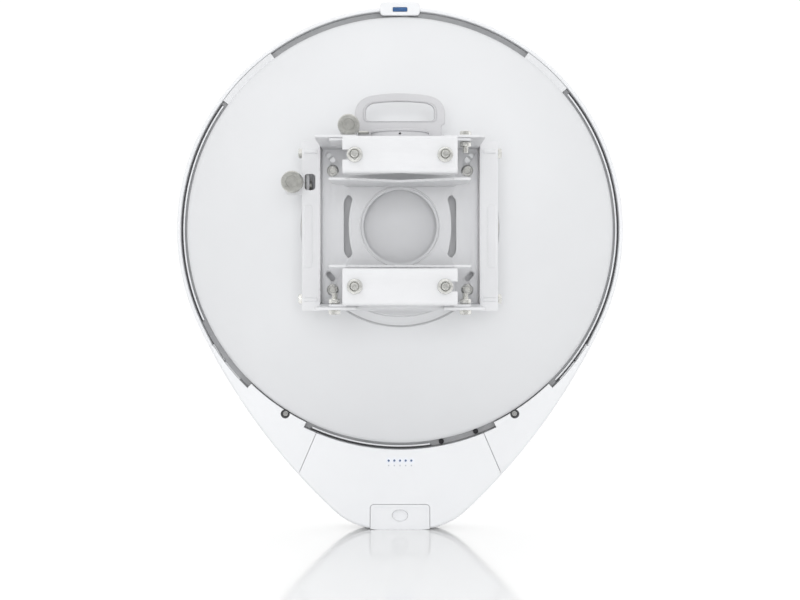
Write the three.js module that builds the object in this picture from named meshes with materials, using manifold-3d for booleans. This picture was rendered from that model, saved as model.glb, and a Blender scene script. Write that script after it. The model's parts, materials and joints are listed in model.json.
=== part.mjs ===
// Outdoor wireless bridge: a dish antenna with a teardrop radome, carried on a two-axis pole mount.
// Millimetres. +Z up, +Y along the radio beam, +X to the right seen from behind the dish.
// The origin is on the axis of the pole, level with the centre of the dish.
import * as THREE from 'three';
import { mergeVertices } from 'three/addons/utils/BufferGeometryUtils.js';
import Module from 'manifold-3d';

const wasm = await Module();
wasm.setup();

// ---------------------------------------------------------------- driving dimensions

const RIM_Y = 188.5; // plane of the dish rim
const COVER_R = 199.5; // edge of the rear cover
const RADOME_R = 209; // outside of the round part of the radome
const SKIRT = 3.4; // wall of the radome skirt
const FLANK_R = 575; // radius of the chin's flanks
const CORNER_R = 64; // radius of the chin's lower corners
const CORNER_X = 18;
const CORNER_Z = -216.4;
const CHIN_GAP = 4.1; // from the radome's outline to the chin's side walls
const CHIN_LIP = 1.8; // the chin's face laps over the radome's skirt, to this far from the outline
const CHIN_REAR = 182.4; // rear face of the chin
const CHIN_FRONT = 200;
const CHIN_RING = 205.5; // inner edge of the chin, round the dish
const SKIRT_END = 184.5; // rear edge of the radome's skirt
const TONGUE = [136, 154]; // the side covers close the ring groove here, in degrees from the top
const RIM = [189.5, 191]; // the reflector's flat rim
const MAIN_BOARD_Y = 203.5;
const WALL = 2.5;

const POLE_R = 25; // largest pole that the clamps take
const SHEET = 2; // thickness of the mount's sheet metal
const AZIMUTH_Y = 62.5; // the azimuth axis stands here, on x = 0
const AZIMUTH_RANGE = 7;
const ELEVATION_Y = 88.5; // the elevation axis lies here, on z = 0
const ELEVATION_RANGE = 8;
const APEX = POLE_R / Math.sin(Math.PI / 3); // from the pole's axis to the bottom of a 120 degree notch

const CHANNEL_NEAR = 4.6;
const CHANNEL_FAR = 81;
const CHANNEL_Z = [32.9, 65.6];
const BRACKET_X = 66.4;
const BRACKET_TOP = 67.8;
const BRACKET_WEB = [92, 94];
const FRAME_X = 82;
const FRAME_TOP = 71.2;
const FRAME_FRONT = 72.5;
const FRAME_WEB = [94.3, 96.3];
const FRAME_BACK = 103.3;
const FRAME_WINDOW = 31.4; // radius of the window in the frame's web

const CLAMP_X = 42.85;
const CLAMP_Z = [35.4, 63.2];
const CLAMP_BOLT = { x: 33.6, z: 49 };
const LOCK_BOLT = { x: 51.3, y: 14.5 }; // azimuth lock bolts
const HANGER = { x: 57.4, zUpper: 47.4, zLower: -54.1 };
const ELEVATION_LOCK_Z = 61.8;
const AZIMUTH_SCREW = { x: -40.2, z: 76.5, lug: 23 };
const ELEVATION_SCREW = { x: -87.5, z: 34.5 };

const SEAM_TOP = { x: 76.6, z: -186 }; // seams between the chin housing and the side covers
const SEAM_SLOPE = 0.4326;
const PORT = { x: 27.8, z: -257 }; // port cover
const THUMB_Z = -267;
const LIGHTS = { z: -215.8, pitch: 5.3, count: 5 };
const GLAND = { y: 193.4 }; // the cable's way in, through the port cover's floor

// ---------------------------------------------------------------- materials

function finish(color, roughness, metalness) {
  return new THREE.MeshStandardMaterial({ color, roughness, metalness });
}

const whitePlastic = finish(0xf1f3f5, 0.45, 0);
const whitePaint = finish(0xe9ebee, 0.5, 0.1);
const greyPaint = finish(0x9d9ea2, 0.5, 0.2);
const zinc = finish(0xa5a69f, 0.35, 0.9);
const aluminium = finish(0xb8bbbf, 0.4, 0.8);
const rubber = finish(0x2a2b2d, 0.8, 0);
const blueLens = finish(0x2f5f9e, 0.2, 0);
const clearLens = finish(0xcfe0f5, 0.2, 0);
const boardGreen = finish(0x1f5d3a, 0.5, 0);
const teflon = finish(0xe6e3da, 0.5, 0);
const darkPlastic = finish(0x3a3c40, 0.5, 0);

// ---------------------------------------------------------------- solids

function toSolid(geometry) {
  const bare = geometry.clone();
  bare.deleteAttribute('normal');
  bare.deleteAttribute('uv');
  const merged = mergeVertices(bare, 1e-4);
  const points = merged.attributes.position.array;
  const index = merged.index.array;
  const triangles = [];
  let volume = 0;
  for (let i = 0; i < index.length; i += 3) {
    const [a, b, c] = [index[i], index[i + 1], index[i + 2]];
    if (a === b || b === c || c === a) continue;
    triangles.push([a, b, c]);
    const [p, q, r] = [a, b, c].map((k) => new THREE.Vector3().fromArray(points, 3 * k));
    volume += p.dot(q.cross(r));
  }
  const outward = volume > 0 ? triangles : triangles.map(([a, b, c]) => [a, c, b]);
  const mesh = new wasm.Mesh({
    numProp: 3,
    vertProperties: new Float32Array(points),
    triVerts: new Uint32Array(outward.flat()),
  });
  return new wasm.Manifold(mesh);
}

function toGeometry(solid) {
  const { vertProperties, triVerts } = solid.getMesh();
  const geometry = new THREE.BufferGeometry();
  geometry.setAttribute('position', new THREE.Float32BufferAttribute(vertProperties, 3));
  geometry.setIndex(new THREE.BufferAttribute(triVerts, 1));
  geometry.computeVertexNormals();
  return geometry;
}

function join(...solids) {
  return solids.reduce((sum, next) => sum.add(next));
}

function cut(solid, ...tools) {
  return tools.reduce((rest, tool) => rest.subtract(tool), solid);
}

function block([x0, x1], [y0, y1], [z0, z1]) {
  const geometry = new THREE.BoxGeometry(x1 - x0, y1 - y0, z1 - z0);
  geometry.translate((x0 + x1) / 2, (y0 + y1) / 2, (z0 + z1) / 2);
  return toSolid(geometry);
}

// A round or polygonal bar along one axis, from one coordinate to another.
function rod(axis, radius, [from, to], { x = 0, y = 0, z = 0 } = {}, sides = 12) {
  const geometry = new THREE.CylinderGeometry(radius, radius, to - from, sides);
  if (axis === 'x') geometry.rotateZ(-Math.PI / 2);
  if (axis === 'z') geometry.rotateX(Math.PI / 2);
  const centre = { x, y, z, [axis]: (from + to) / 2 };
  geometry.translate(centre.x, centre.y, centre.z);
  return toSolid(geometry);
}

// An outline extruded along an axis. It is drawn in (x, z) for y, (y, z) for x and (x, y) for z.
function sheet(axis, shape, [from, to], curveSegments = 3) {
  const geometry = new THREE.ExtrudeGeometry(shape, {
    depth: to - from,
    bevelEnabled: false,
    curveSegments,
  });
  if (axis === 'x') {
    const toYZ = new THREE.Matrix4().makeBasis(
      new THREE.Vector3(0, 1, 0),
      new THREE.Vector3(0, 0, 1),
      new THREE.Vector3(1, 0, 0),
    );
    geometry.applyMatrix4(toYZ).translate(from, 0, 0);
  }
  if (axis === 'y') geometry.rotateX(Math.PI / 2).translate(0, to, 0);
  if (axis === 'z') geometry.translate(0, 0, from);
  return toSolid(geometry);
}

// A closed profile of [radius, y] points turned about the beam axis.
function lathe(profile, segments) {
  const points = profile.map(([radius, y]) => new THREE.Vector2(radius, y));
  return new THREE.LatheGeometry(points, segments);
}

// ---------------------------------------------------------------- outlines

const radians = THREE.MathUtils.degToRad;

function polygon(points) {
  return new THREE.Shape(points.map(([u, v]) => new THREE.Vector2(u, v)));
}

function roundedBox([u0, u1], [v0, v1], r) {
  const shape = new THREE.Shape();
  shape.absarc(u1 - r, v0 + r, r, -Math.PI / 2, 0, false);
  shape.absarc(u1 - r, v1 - r, r, 0, Math.PI / 2, false);
  shape.absarc(u0 + r, v1 - r, r, Math.PI / 2, Math.PI, false);
  shape.absarc(u0 + r, v0 + r, r, Math.PI, 1.5 * Math.PI, false);
  shape.closePath();
  return shape;
}

// A straight slot with round ends.
function slot([u0, v0], [u1, v1], halfWidth) {
  const along = Math.atan2(v1 - v0, u1 - u0);
  const shape = new THREE.Shape();
  shape.absarc(u1, v1, halfWidth, along - Math.PI / 2, along + Math.PI / 2, false);
  shape.absarc(u0, v0, halfWidth, along + Math.PI / 2, along + 1.5 * Math.PI, false);
  shape.closePath();
  return shape;
}

// A slot along an arc about (u, v), centred on one angle and reaching a number of degrees each way.
function arcSlot(u, v, radius, angle, reach, halfWidth) {
  const start = radians(angle - reach);
  const end = radians(angle + reach);
  const cap = (at) => [u + radius * Math.cos(at), v + radius * Math.sin(at)];
  const shape = new THREE.Shape();
  shape.absarc(u, v, radius + halfWidth, start, end, false);
  shape.absarc(...cap(end), halfWidth, end, end + Math.PI, false);
  shape.absarc(u, v, radius - halfWidth, end, start, true);
  shape.absarc(...cap(start), halfWidth, start + Math.PI, start + 2 * Math.PI, false);
  shape.closePath();
  return shape;
}

// Part of a ring about the beam axis, between two angles measured in degrees from the top.
function ringPart([r0, r1], [from, to]) {
  const [start, end] = [radians(90 - to), radians(90 - from)];
  const shape = new THREE.Shape();
  shape.absarc(0, 0, r1, start, end, false);
  shape.absarc(0, 0, r0, end, start, true);
  shape.closePath();
  return shape;
}

// The teardrop seen along the beam, drawn a given distance inside the radome's outer edge:
// a circle, a long arc down each flank, a tighter arc at each lower corner and a flat bottom.
function teardrop(inset) {
  const reach = FLANK_R - RADOME_R;
  const arm = Math.hypot(CORNER_X, CORNER_Z);
  const toCorner = (FLANK_R - CORNER_R) ** 2 - reach ** 2 - arm ** 2;
  const tilt = Math.atan2(CORNER_X, -CORNER_Z);
  const leave = Math.asin(toCorner / (2 * reach * arm)) - tilt; // angle below +X where a flank starts
  const flankX = -reach * Math.cos(leave);
  const flankZ = reach * Math.sin(leave);
  const meet = Math.atan2(flankZ - CORNER_Z, CORNER_X - flankX); // angle below +X where it ends
  const shape = new THREE.Shape();
  const corner = CORNER_R - inset;
  const flank = FLANK_R - inset;
  shape.absarc(CORNER_X, CORNER_Z, corner, -Math.PI / 2, -meet, false);
  shape.absarc(flankX, flankZ, flank, -meet, -leave, false);
  shape.absarc(0, 0, RADOME_R - inset, -leave, Math.PI + leave, false);
  shape.absarc(-flankX, flankZ, flank, Math.PI + leave, Math.PI + meet, false);
  shape.absarc(-CORNER_X, CORNER_Z, corner, Math.PI + meet, 1.5 * Math.PI, false);
  shape.closePath();
  return shape;
}

const outline = teardrop(0).getPoints(32);

// Distance from the beam axis to the outline, in the direction (sin a, cos a).
function outlineRadius(angle) {
  const [dx, dz] = [Math.sin(angle), Math.cos(angle)];
  for (let i = 0; i < outline.length; i += 1) {
    const p = outline[i];
    const q = outline[(i + 1) % outline.length];
    const [ex, ez] = [q.x - p.x, q.y - p.y];
    const crossing = ex * dz - ez * dx;
    if (Math.abs(crossing) < 1e-9) continue;
    const along = (dx * p.y - dz * p.x) / crossing;
    const distance = (ex * p.y - ez * p.x) / crossing;
    if (along >= -1e-9 && along <= 1 + 1e-9 && distance > 0) return distance;
  }
  return RADOME_R;
}

// Pulls a turned shell out from a circle to the teardrop; nothing inside the given radius moves.
function stretchToTeardrop(geometry, keepRadius) {
  const place = geometry.attributes.position;
  for (let i = 0; i < place.count; i += 1) {
    const [x, z] = [place.getX(i), place.getZ(i)];
    const radius = Math.hypot(x, z);
    if (radius <= keepRadius) continue;
    const angle = Math.atan2(x, z);
    const share = THREE.MathUtils.smoothstep(radius, keepRadius, RADOME_R - SKIRT);
    const scale = (radius + share * (outlineRadius(angle) - RADOME_R)) / radius;
    place.setXYZ(i, x * scale, place.getY(i), z * scale);
  }
  return geometry;
}

// ---------------------------------------------------------------- the assembly

const bridge = new THREE.Group();
const parts = {};
for (const name of ['poleSide', 'clamps', 'azimuthSide', 'screws', 'head', 'chin']) {
  parts[name] = new THREE.Group();
  bridge.add(parts[name]);
}

function place(group, name, solid, material, [x, y, z] = [0, 0, 0]) {
  const mesh = new THREE.Mesh(toGeometry(solid), material);
  mesh.name = name;
  mesh.position.set(x, y, z);
  parts[group].add(mesh);
  return mesh;
}

const mirrorX = (points) => points.map(([u, v]) => [-u, v]).reverse();

// One side of a V notch for the pole, with saw teeth that bite into it.
function toothedEdge([u0, v0], [u1, v1], teeth, depth) {
  const points = [];
  const length = Math.hypot(u1 - u0, v1 - v0);
  const [nu, nv] = [(v1 - v0) / length, -(u1 - u0) / length];
  for (let i = 0; i < teeth; i += 1) {
    const tip = i / teeth;
    const root = (i + 0.55) / teeth;
    points.push([u0 + tip * (u1 - u0), v0 + tip * (v1 - v0)]);
    points.push([u0 + root * (u1 - u0) + depth * nu, v0 + root * (v1 - v0) + depth * nv]);
  }
  points.push([u1, v1]);
  return points;
}

// ---------------------------------------------------------------- pole channels and clamps

const NOTCH_HALF = (APEX - CHANNEL_NEAR) * Math.tan(Math.PI / 3);

function channelFlange() {
  const notch = toothedEdge([NOTCH_HALF, CHANNEL_NEAR], [0, APEX], 6, 1.2);
  const side = [
    [46, CHANNEL_FAR],
    [46, AZIMUTH_Y],
    [55.5, 45],
    [55.5, CHANNEL_NEAR],
  ];
  return polygon([...side, ...notch, ...mirrorX(notch).slice(1), ...mirrorX(side)]);
}

// side is 1 for the upper channel and -1 for the lower one
function poleChannel(side, lockSides) {
  const span = (a, b) => (side > 0 ? [a, b] : [-b, -a]);
  const [inner, outer] = CHANNEL_Z;
  const boltHole = (x) => rod('y', 3.3, [70, 90], { x, z: side * CLAMP_BOLT.z });
  const shell = join(
    sheet('z', channelFlange(), span(inner, inner + SHEET)),
    sheet('z', channelFlange(), span(outer - SHEET, outer)),
    block([-46, 46], [CHANNEL_FAR - SHEET, CHANNEL_FAR], span(inner, outer)),
  );
  const holes = [
    boltHole(CLAMP_BOLT.x),
    boltHole(-CLAMP_BOLT.x),
    rod('z', 4.2, span(60, 70), { y: AZIMUTH_Y }),
    ...lockSides.map((s) => rod('z', 2.6, span(55, 70), { x: s * LOCK_BOLT.x, y: LOCK_BOLT.y })),
  ];
  if (side > 0) holes.push(rod('z', 3, [60, 70], { x: AZIMUTH_SCREW.x, y: AZIMUTH_Y }));
  return cut(shell, ...holes);
}

place('poleSide', 'upper_pole_channel', poleChannel(1, [1]), whitePaint);
place('poleSide', 'lower_pole_channel', poleChannel(-1, [1, -1]), whitePaint);

// Carriage bolt along Y: a domed head behind the channel, the end just proud of its nut.
const carriageBolt = join(
  rod('y', 3, [-38.5, 82]),
  toSolid(
    lathe(
      [
        [0, 81.2],
        [7.5, 81.2],
        [6.2, 83.2],
        [0, 84.6],
      ],
      12,
    ),
  ),
);

// Hex nut with a washer flange, round a hole along Y.
const flangeNut = cut(
  join(rod('y', 5, [-37.5, -31.6], {}, 6), rod('y', 5.9, [-33.1, -31.6])),
  rod('y', 3.2, [-39, -30]),
);

function clampFlange(web) {
  const near = -12;
  const half = (near + APEX) * Math.tan(Math.PI / 3);
  const notch = toothedEdge([0, -APEX], [half, near], 5, 1.1);
  const side = [
    [36, near],
    [CLAMP_X, near - 8],
    [CLAMP_X, web],
  ];
  return polygon([...notch, ...side, ...mirrorX(side), ...mirrorX(notch).slice(0, -1)]);
}

// side is 1 for the upper clamp, -1 for the lower; open is the side whose bolt slot runs to the edge
function clampPlate(side, open) {
  const span = (a, b) => (side > 0 ? [a, b] : [-b, -a]);
  const web = [-APEX - WALL, -APEX];
  const z = side * CLAMP_BOLT.z;
  const shell = join(
    block([-CLAMP_X, CLAMP_X], web, span(...CLAMP_Z)),
    sheet('z', clampFlange(web[0]), span(CLAMP_Z[0], CLAMP_Z[0] + SHEET)),
    sheet('z', clampFlange(web[0]), span(CLAMP_Z[1] - SHEET, CLAMP_Z[1])),
  );
  const mouth = slot([open * CLAMP_BOLT.x, z], [open * (CLAMP_X + 6), z], 3.7);
  return cut(shell, sheet('y', mouth, [-40, -20]), rod('y', 3.5, [-40, -20], { x: -open * CLAMP_BOLT.x, z }));
}

place('clamps', 'clamp_plate_upper', clampPlate(1, -1), whitePaint);
place('clamps', 'clamp_plate_lower', clampPlate(-1, 1), whitePaint);
for (const [row, side] of [['upper', 1], ['lower', -1]]) {
  for (const [end, x] of [['left', -CLAMP_BOLT.x], ['right', CLAMP_BOLT.x]]) {
    const spot = [x, 0, side * CLAMP_BOLT.z];
    place('poleSide', `clamp_bolt_${row}_${end}`, carriageBolt, zinc, spot);
    place('clamps', `clamp_nut_${row}_${end}`, flangeNut, zinc, spot);
  }
}

// Azimuth pivots: shoulder rivets through the channel and the bracket.
for (const [name, side] of [['azimuth_pivot_upper', 1], ['azimuth_pivot_lower', -1]]) {
  const span = (a, b) => (side > 0 ? [a, b] : [-b, -a]);
  const rivet = join(
    rod('z', 4, span(62, 68.4)),
    rod('z', 6, span(68, 69.6)),
    rod('z', 6, span(61.6, 63.3)),
  );
  place('poleSide', name, rivet, zinc, [0, AZIMUTH_Y, 0]);
}

// The azimuth screw works against this post, riveted to the upper channel.
const azimuthTrunnion = cut(
  join(
    rod('z', 2.8, [62, 73]),
    rod('z', 4.6, [61.8, 63.4]),
    rod('z', 3.9, [68.1, 72]),
    rod('z', 6.2, [FRAME_TOP + 0.4, AZIMUTH_SCREW.z + 5]),
    rod('x', 1.5, [5, 14.6], { z: AZIMUTH_SCREW.z }, 8),
  ),
  rod('y', 3.9, [-10, 10], { z: AZIMUTH_SCREW.z }),
);
place('poleSide', 'azimuth_trunnion', azimuthTrunnion, zinc, [AZIMUTH_SCREW.x, AZIMUTH_Y, 0]);

// Hex bolt with a washer face, standing on z = 0 with its shank below.
function hexBolt(shank) {
  return join(
    rod('z', 4.62, [0.9, 4], {}, 6),
    rod('z', 5, [0, 1]),
    rod('z', 2.4, [-shank, 0.5]),
  );
}

function turned(solid, [x, y, z]) {
  return solid.rotate([x, y, z]);
}

// The azimuth lock bolts carry a nut under the channel's flange.
const lockBolt = join(hexBolt(13), rod('z', 4.4, [-8.2, -4.5], {}, 6));
const LOCK_SEAT = BRACKET_TOP + 0.1;
place('poleSide', 'azimuth_lock_bolt_upper', lockBolt, zinc, [LOCK_BOLT.x, LOCK_BOLT.y, LOCK_SEAT]);
for (const [end, side] of [['left', -1], ['right', 1]]) {
  const spot = [side * LOCK_BOLT.x, LOCK_BOLT.y, -LOCK_SEAT];
  place('poleSide', `azimuth_lock_bolt_lower_${end}`, turned(lockBolt, [180, 0, 0]), zinc, spot);
}

// ---------------------------------------------------------------- azimuth bracket

const LOCK_REACH = Math.hypot(LOCK_BOLT.x, AZIMUTH_Y - LOCK_BOLT.y);
const LOCK_ANGLE = THREE.MathUtils.radToDeg(Math.atan2(LOCK_BOLT.y - AZIMUTH_Y, LOCK_BOLT.x));

function bracketFlange() {
  const near = 2.6;
  const relief = 34; // keeps the flange off the pole as the bracket turns
  const start = Math.acos(near / relief);
  const shape = new THREE.Shape();
  shape.moveTo(relief * Math.sin(start), near);
  shape.lineTo(BRACKET_X - 4, near);
  shape.absarc(BRACKET_X - 4, near + 4, 4, -Math.PI / 2, 0, false);
  shape.lineTo(BRACKET_X, BRACKET_WEB[1]);
  shape.lineTo(-BRACKET_X, BRACKET_WEB[1]);
  shape.lineTo(-BRACKET_X, near + 4);
  shape.absarc(4 - BRACKET_X, near + 4, 4, Math.PI, 1.5 * Math.PI, false);
  shape.lineTo(-relief * Math.sin(start), near);
  shape.absarc(0, 0, relief, Math.PI / 2 + start, Math.PI / 2 - start, true);
  return shape;
}

// Side windows: straight outside, curved round the central hole inside.
function sideWindow(side, grow) {
  const shape = new THREE.Shape();
  shape.moveTo(side * (48 + grow), 20);
  shape.lineTo(side * (44.5 + grow), 26.8 + grow);
  shape.lineTo(side * (40.5 - grow), 23.5 + grow);
  shape.quadraticCurveTo(side * (47 - grow), 0, side * (40.5 - grow), -23.5 - grow);
  shape.lineTo(side * (44.5 + grow), -26.8 - grow);
  shape.lineTo(side * (48 + grow), -20);
  shape.closePath();
  return shape;
}

// Bent slots: the hanger screws slide down them and seat at the bottom.
function hookSlot(side, seatZ) {
  const seat = [side * HANGER.x, seatZ];
  const turn = [side * (HANGER.x - 1.4), seatZ + 8];
  const end = [side * (HANGER.x + 3.4), seatZ + 13.6];
  return join(
    sheet('y', slot(seat, turn, 2.8), [90, 96]),
    sheet('y', slot(turn, end, 2.8), [90, 96]),
  );
}

// The frame's web is open behind the upper part of each slot, a little narrower than the slot.
function hookRelief(side, seatZ) {
  const low = [side * (HANGER.x + 0.2), seatZ + 9.4];
  const high = [side * (HANGER.x + 3.4), seatZ + 13.2];
  return sheet('y', slot(low, high, 2.2), [92, 98]);
}

function azimuthBracket() {
  const top = [BRACKET_TOP - SHEET, BRACKET_TOP];
  const bottom = [-BRACKET_TOP, SHEET - BRACKET_TOP];
  const lug = roundedBox([AZIMUTH_SCREW.x - 7, AZIMUTH_SCREW.x + 7], [60, 83.5], 6);
  const lugSpan = [AZIMUTH_SCREW.lug, AZIMUTH_SCREW.lug + SHEET];
  const lugTab = sheet('y', lug, lugSpan).intersect(block([-60, 60], [0, 60], [BRACKET_TOP - 1, 90]));
  const shell = join(
    sheet('z', bracketFlange(), top, 8),
    sheet('z', bracketFlange(), bottom, 8),
    block([-BRACKET_X, BRACKET_X], BRACKET_WEB, [-BRACKET_TOP, BRACKET_TOP]),
    lugTab,
  );
  const lockSlot = (side, span) => {
    const angle = side > 0 ? LOCK_ANGLE : 180 - LOCK_ANGLE;
    return sheet('z', arcSlot(0, AZIMUTH_Y, LOCK_REACH, angle, AZIMUTH_RANGE, 2.75), span);
  };
  const holes = [
    rod('y', 33.5, [90, 96], {}, 32),
    ...[1, -1].map((side) => sheet('y', sideWindow(side, 0), [90, 96])),
    ...[1, -1].map((side) => hookSlot(side, HANGER.zUpper)),
    ...[1, -1].map((side) => hookSlot(side, HANGER.zLower)),
    lockSlot(1, [60, 75]),
    lockSlot(1, [-75, -60]),
    lockSlot(-1, [-75, -60]),
    sheet('z', arcSlot(0, AZIMUTH_Y, -AZIMUTH_SCREW.x, 180, AZIMUTH_RANGE, 3.3), [60, 75]),
    rod('z', 4.2, [-75, 75], { y: AZIMUTH_Y }),
    rod('y', 2.9, [20, 30], AZIMUTH_SCREW),
  ];
  return cut(shell, ...holes);
}

place('azimuthSide', 'azimuth_bracket', azimuthBracket(), whitePaint);

// ---------------------------------------------------------------- elevation frame and handle

function frameSide(side) {
  const across = (a, b) => (side > 0 ? [a, b] : [-b, -a]);
  const tall = [-FRAME_TOP, FRAME_TOP];
  const pad = roundedBox(across(73.2, 80), [-35, 17], 2);
  return join(
    block(across(67, 69), [FRAME_FRONT, FRAME_WEB[1]], tall),
    block(across(67, FRAME_X), [FRAME_FRONT, FRAME_FRONT + SHEET], tall),
    block(across(80, FRAME_X), [FRAME_FRONT, FRAME_BACK], tall),
    sheet('y', pad, [FRAME_FRONT - 0.7, FRAME_FRONT + 1]),
    ...[1, -1].map((s) =>
      rod('x', 1.9, across(69, 81), { y: FRAME_FRONT + 0.6, z: s * ELEVATION_LOCK_Z }, 8),
    ),
  );
}

function elevationFrame() {
  const { x, z } = ELEVATION_SCREW;
  const lug = roundedBox([x - 9, -FRAME_X + 1], [z - 9, z + 9], 4);
  const shell = join(
    block([-68, 68], FRAME_WEB, [-FRAME_TOP, FRAME_TOP]),
    block([-FRAME_X, FRAME_X], [FRAME_FRONT, FRAME_BACK], [FRAME_TOP - SHEET, FRAME_TOP]),
    block([-FRAME_X, FRAME_X], [FRAME_FRONT, FRAME_BACK], [-FRAME_TOP, SHEET - FRAME_TOP]),
    frameSide(1),
    frameSide(-1),
    sheet('y', lug, [FRAME_FRONT, FRAME_FRONT + SHEET]),
    ...[1, -1].flatMap((side) =>
      [HANGER.zUpper, HANGER.zLower].map((seat) => rod('y', 5, [95, 100.6], { x: side * HANGER.x, z: seat })),
    ),
  );
  const wallSlot = (angle, radius, halfWidth, reach) =>
    arcSlot(ELEVATION_Y, 0, radius, angle, reach, halfWidth);
  const lockSlots = [90, -90].map((angle) =>
    sheet('x', wallSlot(angle, ELEVATION_LOCK_Z, 2.75, ELEVATION_RANGE), [-90, 90]),
  );
  const throughWall = block([-90, -70], [60, 120], [-80, 80]).add(block([70, 90], [60, 120], [-80, 80]));
  const holes = [
    rod('y', FRAME_WINDOW, [90, 100], {}, 32),
    ...[1, -1].map((side) => sheet('y', sideWindow(side, 0.8), [90, 100])),
    ...[1, -1].flatMap((side) =>
      [HANGER.zUpper, HANGER.zLower].map((seat) => rod('y', 2.6, [90, 105], { x: side * HANGER.x, z: seat })),
    ),
    ...[1, -1].flatMap((side) => [HANGER.zUpper, HANGER.zLower].map((seat) => hookRelief(side, seat))),
    ...lockSlots.map((tool) => tool.intersect(throughWall)),
    rod('x', 4.2, [70, 90], { y: ELEVATION_Y }),
    rod('x', 4.2, [-90, -70], { y: ELEVATION_Y }),
    sheet('x', wallSlot(90, z, 3.1, ELEVATION_RANGE), [-90, -75]),
    sheet('y', roundedBox([-79.9, -70.8], [29.6, 43.3], 3), [70, 76]),
    rod('y', 2.9, [60, 80], ELEVATION_SCREW),
  ];
  return cut(shell, ...holes);
}

place('azimuthSide', 'elevation_frame', elevationFrame(), whitePaint);

// Hanger screws: heads in front of the bracket, threaded into bosses behind the frame's web.
const hangerScrew = turned(hexBolt(8.4), [90, 0, 0]);
for (const [row, seat] of [['upper', HANGER.zUpper], ['lower', HANGER.zLower]]) {
  for (const [end, side] of [['left', -1], ['right', 1]]) {
    const spot = [side * HANGER.x, BRACKET_WEB[0] - 0.1, seat];
    place('azimuthSide', `hanger_screw_${row}_${end}`, hangerScrew, zinc, spot);
  }
}

function handleOutline() {
  const half = 38;
  const top = 111.4;
  const shape = new THREE.Shape();
  shape.moveTo(-35, FRAME_TOP + 0.2);
  shape.lineTo(35, FRAME_TOP + 0.2);
  shape.lineTo(35, 84);
  shape.lineTo(half, 85.5);
  shape.lineTo(half, 93);
  shape.quadraticCurveTo(half, 107.5, 22, top - 1.6);
  shape.quadraticCurveTo(0, top + 1.6, -22, top - 1.6);
  shape.quadraticCurveTo(-half, 107.5, -half, 93);
  shape.lineTo(-half, 85.5);
  shape.lineTo(-35, 84);
  shape.closePath();
  return shape;
}

function handleHole() {
  const shape = new THREE.Shape();
  shape.moveTo(-24.5, 88);
  shape.lineTo(24.5, 88);
  shape.quadraticCurveTo(28.6, 88, 28.6, 92);
  shape.lineTo(28.6, 95.5);
  shape.quadraticCurveTo(28.6, 102, 20, 103);
  shape.quadraticCurveTo(0, 105.2, -20, 103);
  shape.quadraticCurveTo(-28.6, 102, -28.6, 95.5);
  shape.lineTo(-28.6, 92);
  shape.quadraticCurveTo(-28.6, 88, -24.5, 88);
  return shape;
}

// The handle stands on the frame. Its foot reaches forward as a half-round azimuth dial with a
// curved skirt that hides the pivot.
function carryHandle() {
  const grip = cut(sheet('y', handleOutline(), [76.5, 79.5]), sheet('y', handleHole(), [70, 85]));
  const drum = rod('z', 24, [BRACKET_TOP + 0.4, 77.3], { y: AZIMUTH_Y }, 24);
  const inside = rod('z', 22.2, [60, 75.3], { y: AZIMUTH_Y }, 24);
  const front = block([-30, 30], [30, FRAME_FRONT - 0.5], [60, 80]);
  const plate = block([-23, 23], [70, 77.5], [75.3, 77.3]);
  const foot = block([-30, 30], [78, 98], [FRAME_TOP + 0.2, FRAME_TOP + 2.2]);
  const pinHole = rod('y', 0.8, [30, 45], { z: 73 }, 8);
  return cut(join(grip, cut(drum, inside).intersect(front), plate, foot), pinHole);
}

place('azimuthSide', 'carry_handle', carryHandle(), greyPaint);

// Fine-adjust screw along Y: round knob, thrust collar, lug, clip, then the threaded shank.
function adjustScrew(knob, knobR, lug, end) {
  return join(
    rod('y', knobR, knob, {}, 20),
    rod('y', 2.5, [knob[1] - 1, end]),
    rod('y', 4.2, [lug - 2.2, lug - 0.2]),
    rod('y', 4.2, [lug + SHEET + 0.2, lug + SHEET + 1.6]),
  );
}

const azimuthScrew = adjustScrew([9.5, 19.5], 8.6, AZIMUTH_SCREW.lug, 70.5);
place('screws', 'azimuth_screw', azimuthScrew, zinc, [AZIMUTH_SCREW.x, 0, AZIMUTH_SCREW.z]);
const elevationScrew = adjustScrew([41.5, 51.5], 9, FRAME_FRONT, 99);
place('screws', 'elevation_screw', elevationScrew, zinc, [ELEVATION_SCREW.x, 0, ELEVATION_SCREW.z]);

// ---------------------------------------------------------------- elevation bracket on the dish

const EAR = [76.6, 79.4];
const BASE = [110, 113.2];

function earProfile() {
  const back = BASE[1];
  const upper = [
    [back, 48],
    [99, 64],
    [96, 65.5],
    [84.5, 65.2],
    [84.4, 30],
    [78, 12],
  ];
  const lower = upper.map(([y, z]) => [y, -z]).reverse();
  return polygon([...lower, [back, -48], ...upper].filter((p, i, all) => i === 0 || all[i - 1] !== p));
}

function elevationBracket() {
  const ears = [1, -1].map((side) => {
    const span = side > 0 ? EAR : [-EAR[1], -EAR[0]];
    const boss = side > 0 ? [73.4, 77] : [-77, -73.4];
    return join(
      sheet('x', earProfile(), span),
      ...[1, -1].map((s) => rod('x', 3.9, boss, { y: ELEVATION_Y, z: s * ELEVATION_LOCK_Z })),
    );
  });
  const holes = [
    rod('x', 4.1, [-90, 90], { y: ELEVATION_Y }),
    ...[1, -1].map((s) => rod('x', 2.6, [-90, 90], { y: ELEVATION_Y, z: s * ELEVATION_LOCK_Z })),
    rod('x', 3, [-90, -70], { y: ELEVATION_Y, z: ELEVATION_SCREW.z }),
  ];
  return cut(join(block([-EAR[1], EAR[1]], BASE, [-48, 48]), ...ears), ...holes);
}

place('head', 'elevation_bracket', elevationBracket(), whitePaint);

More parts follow.
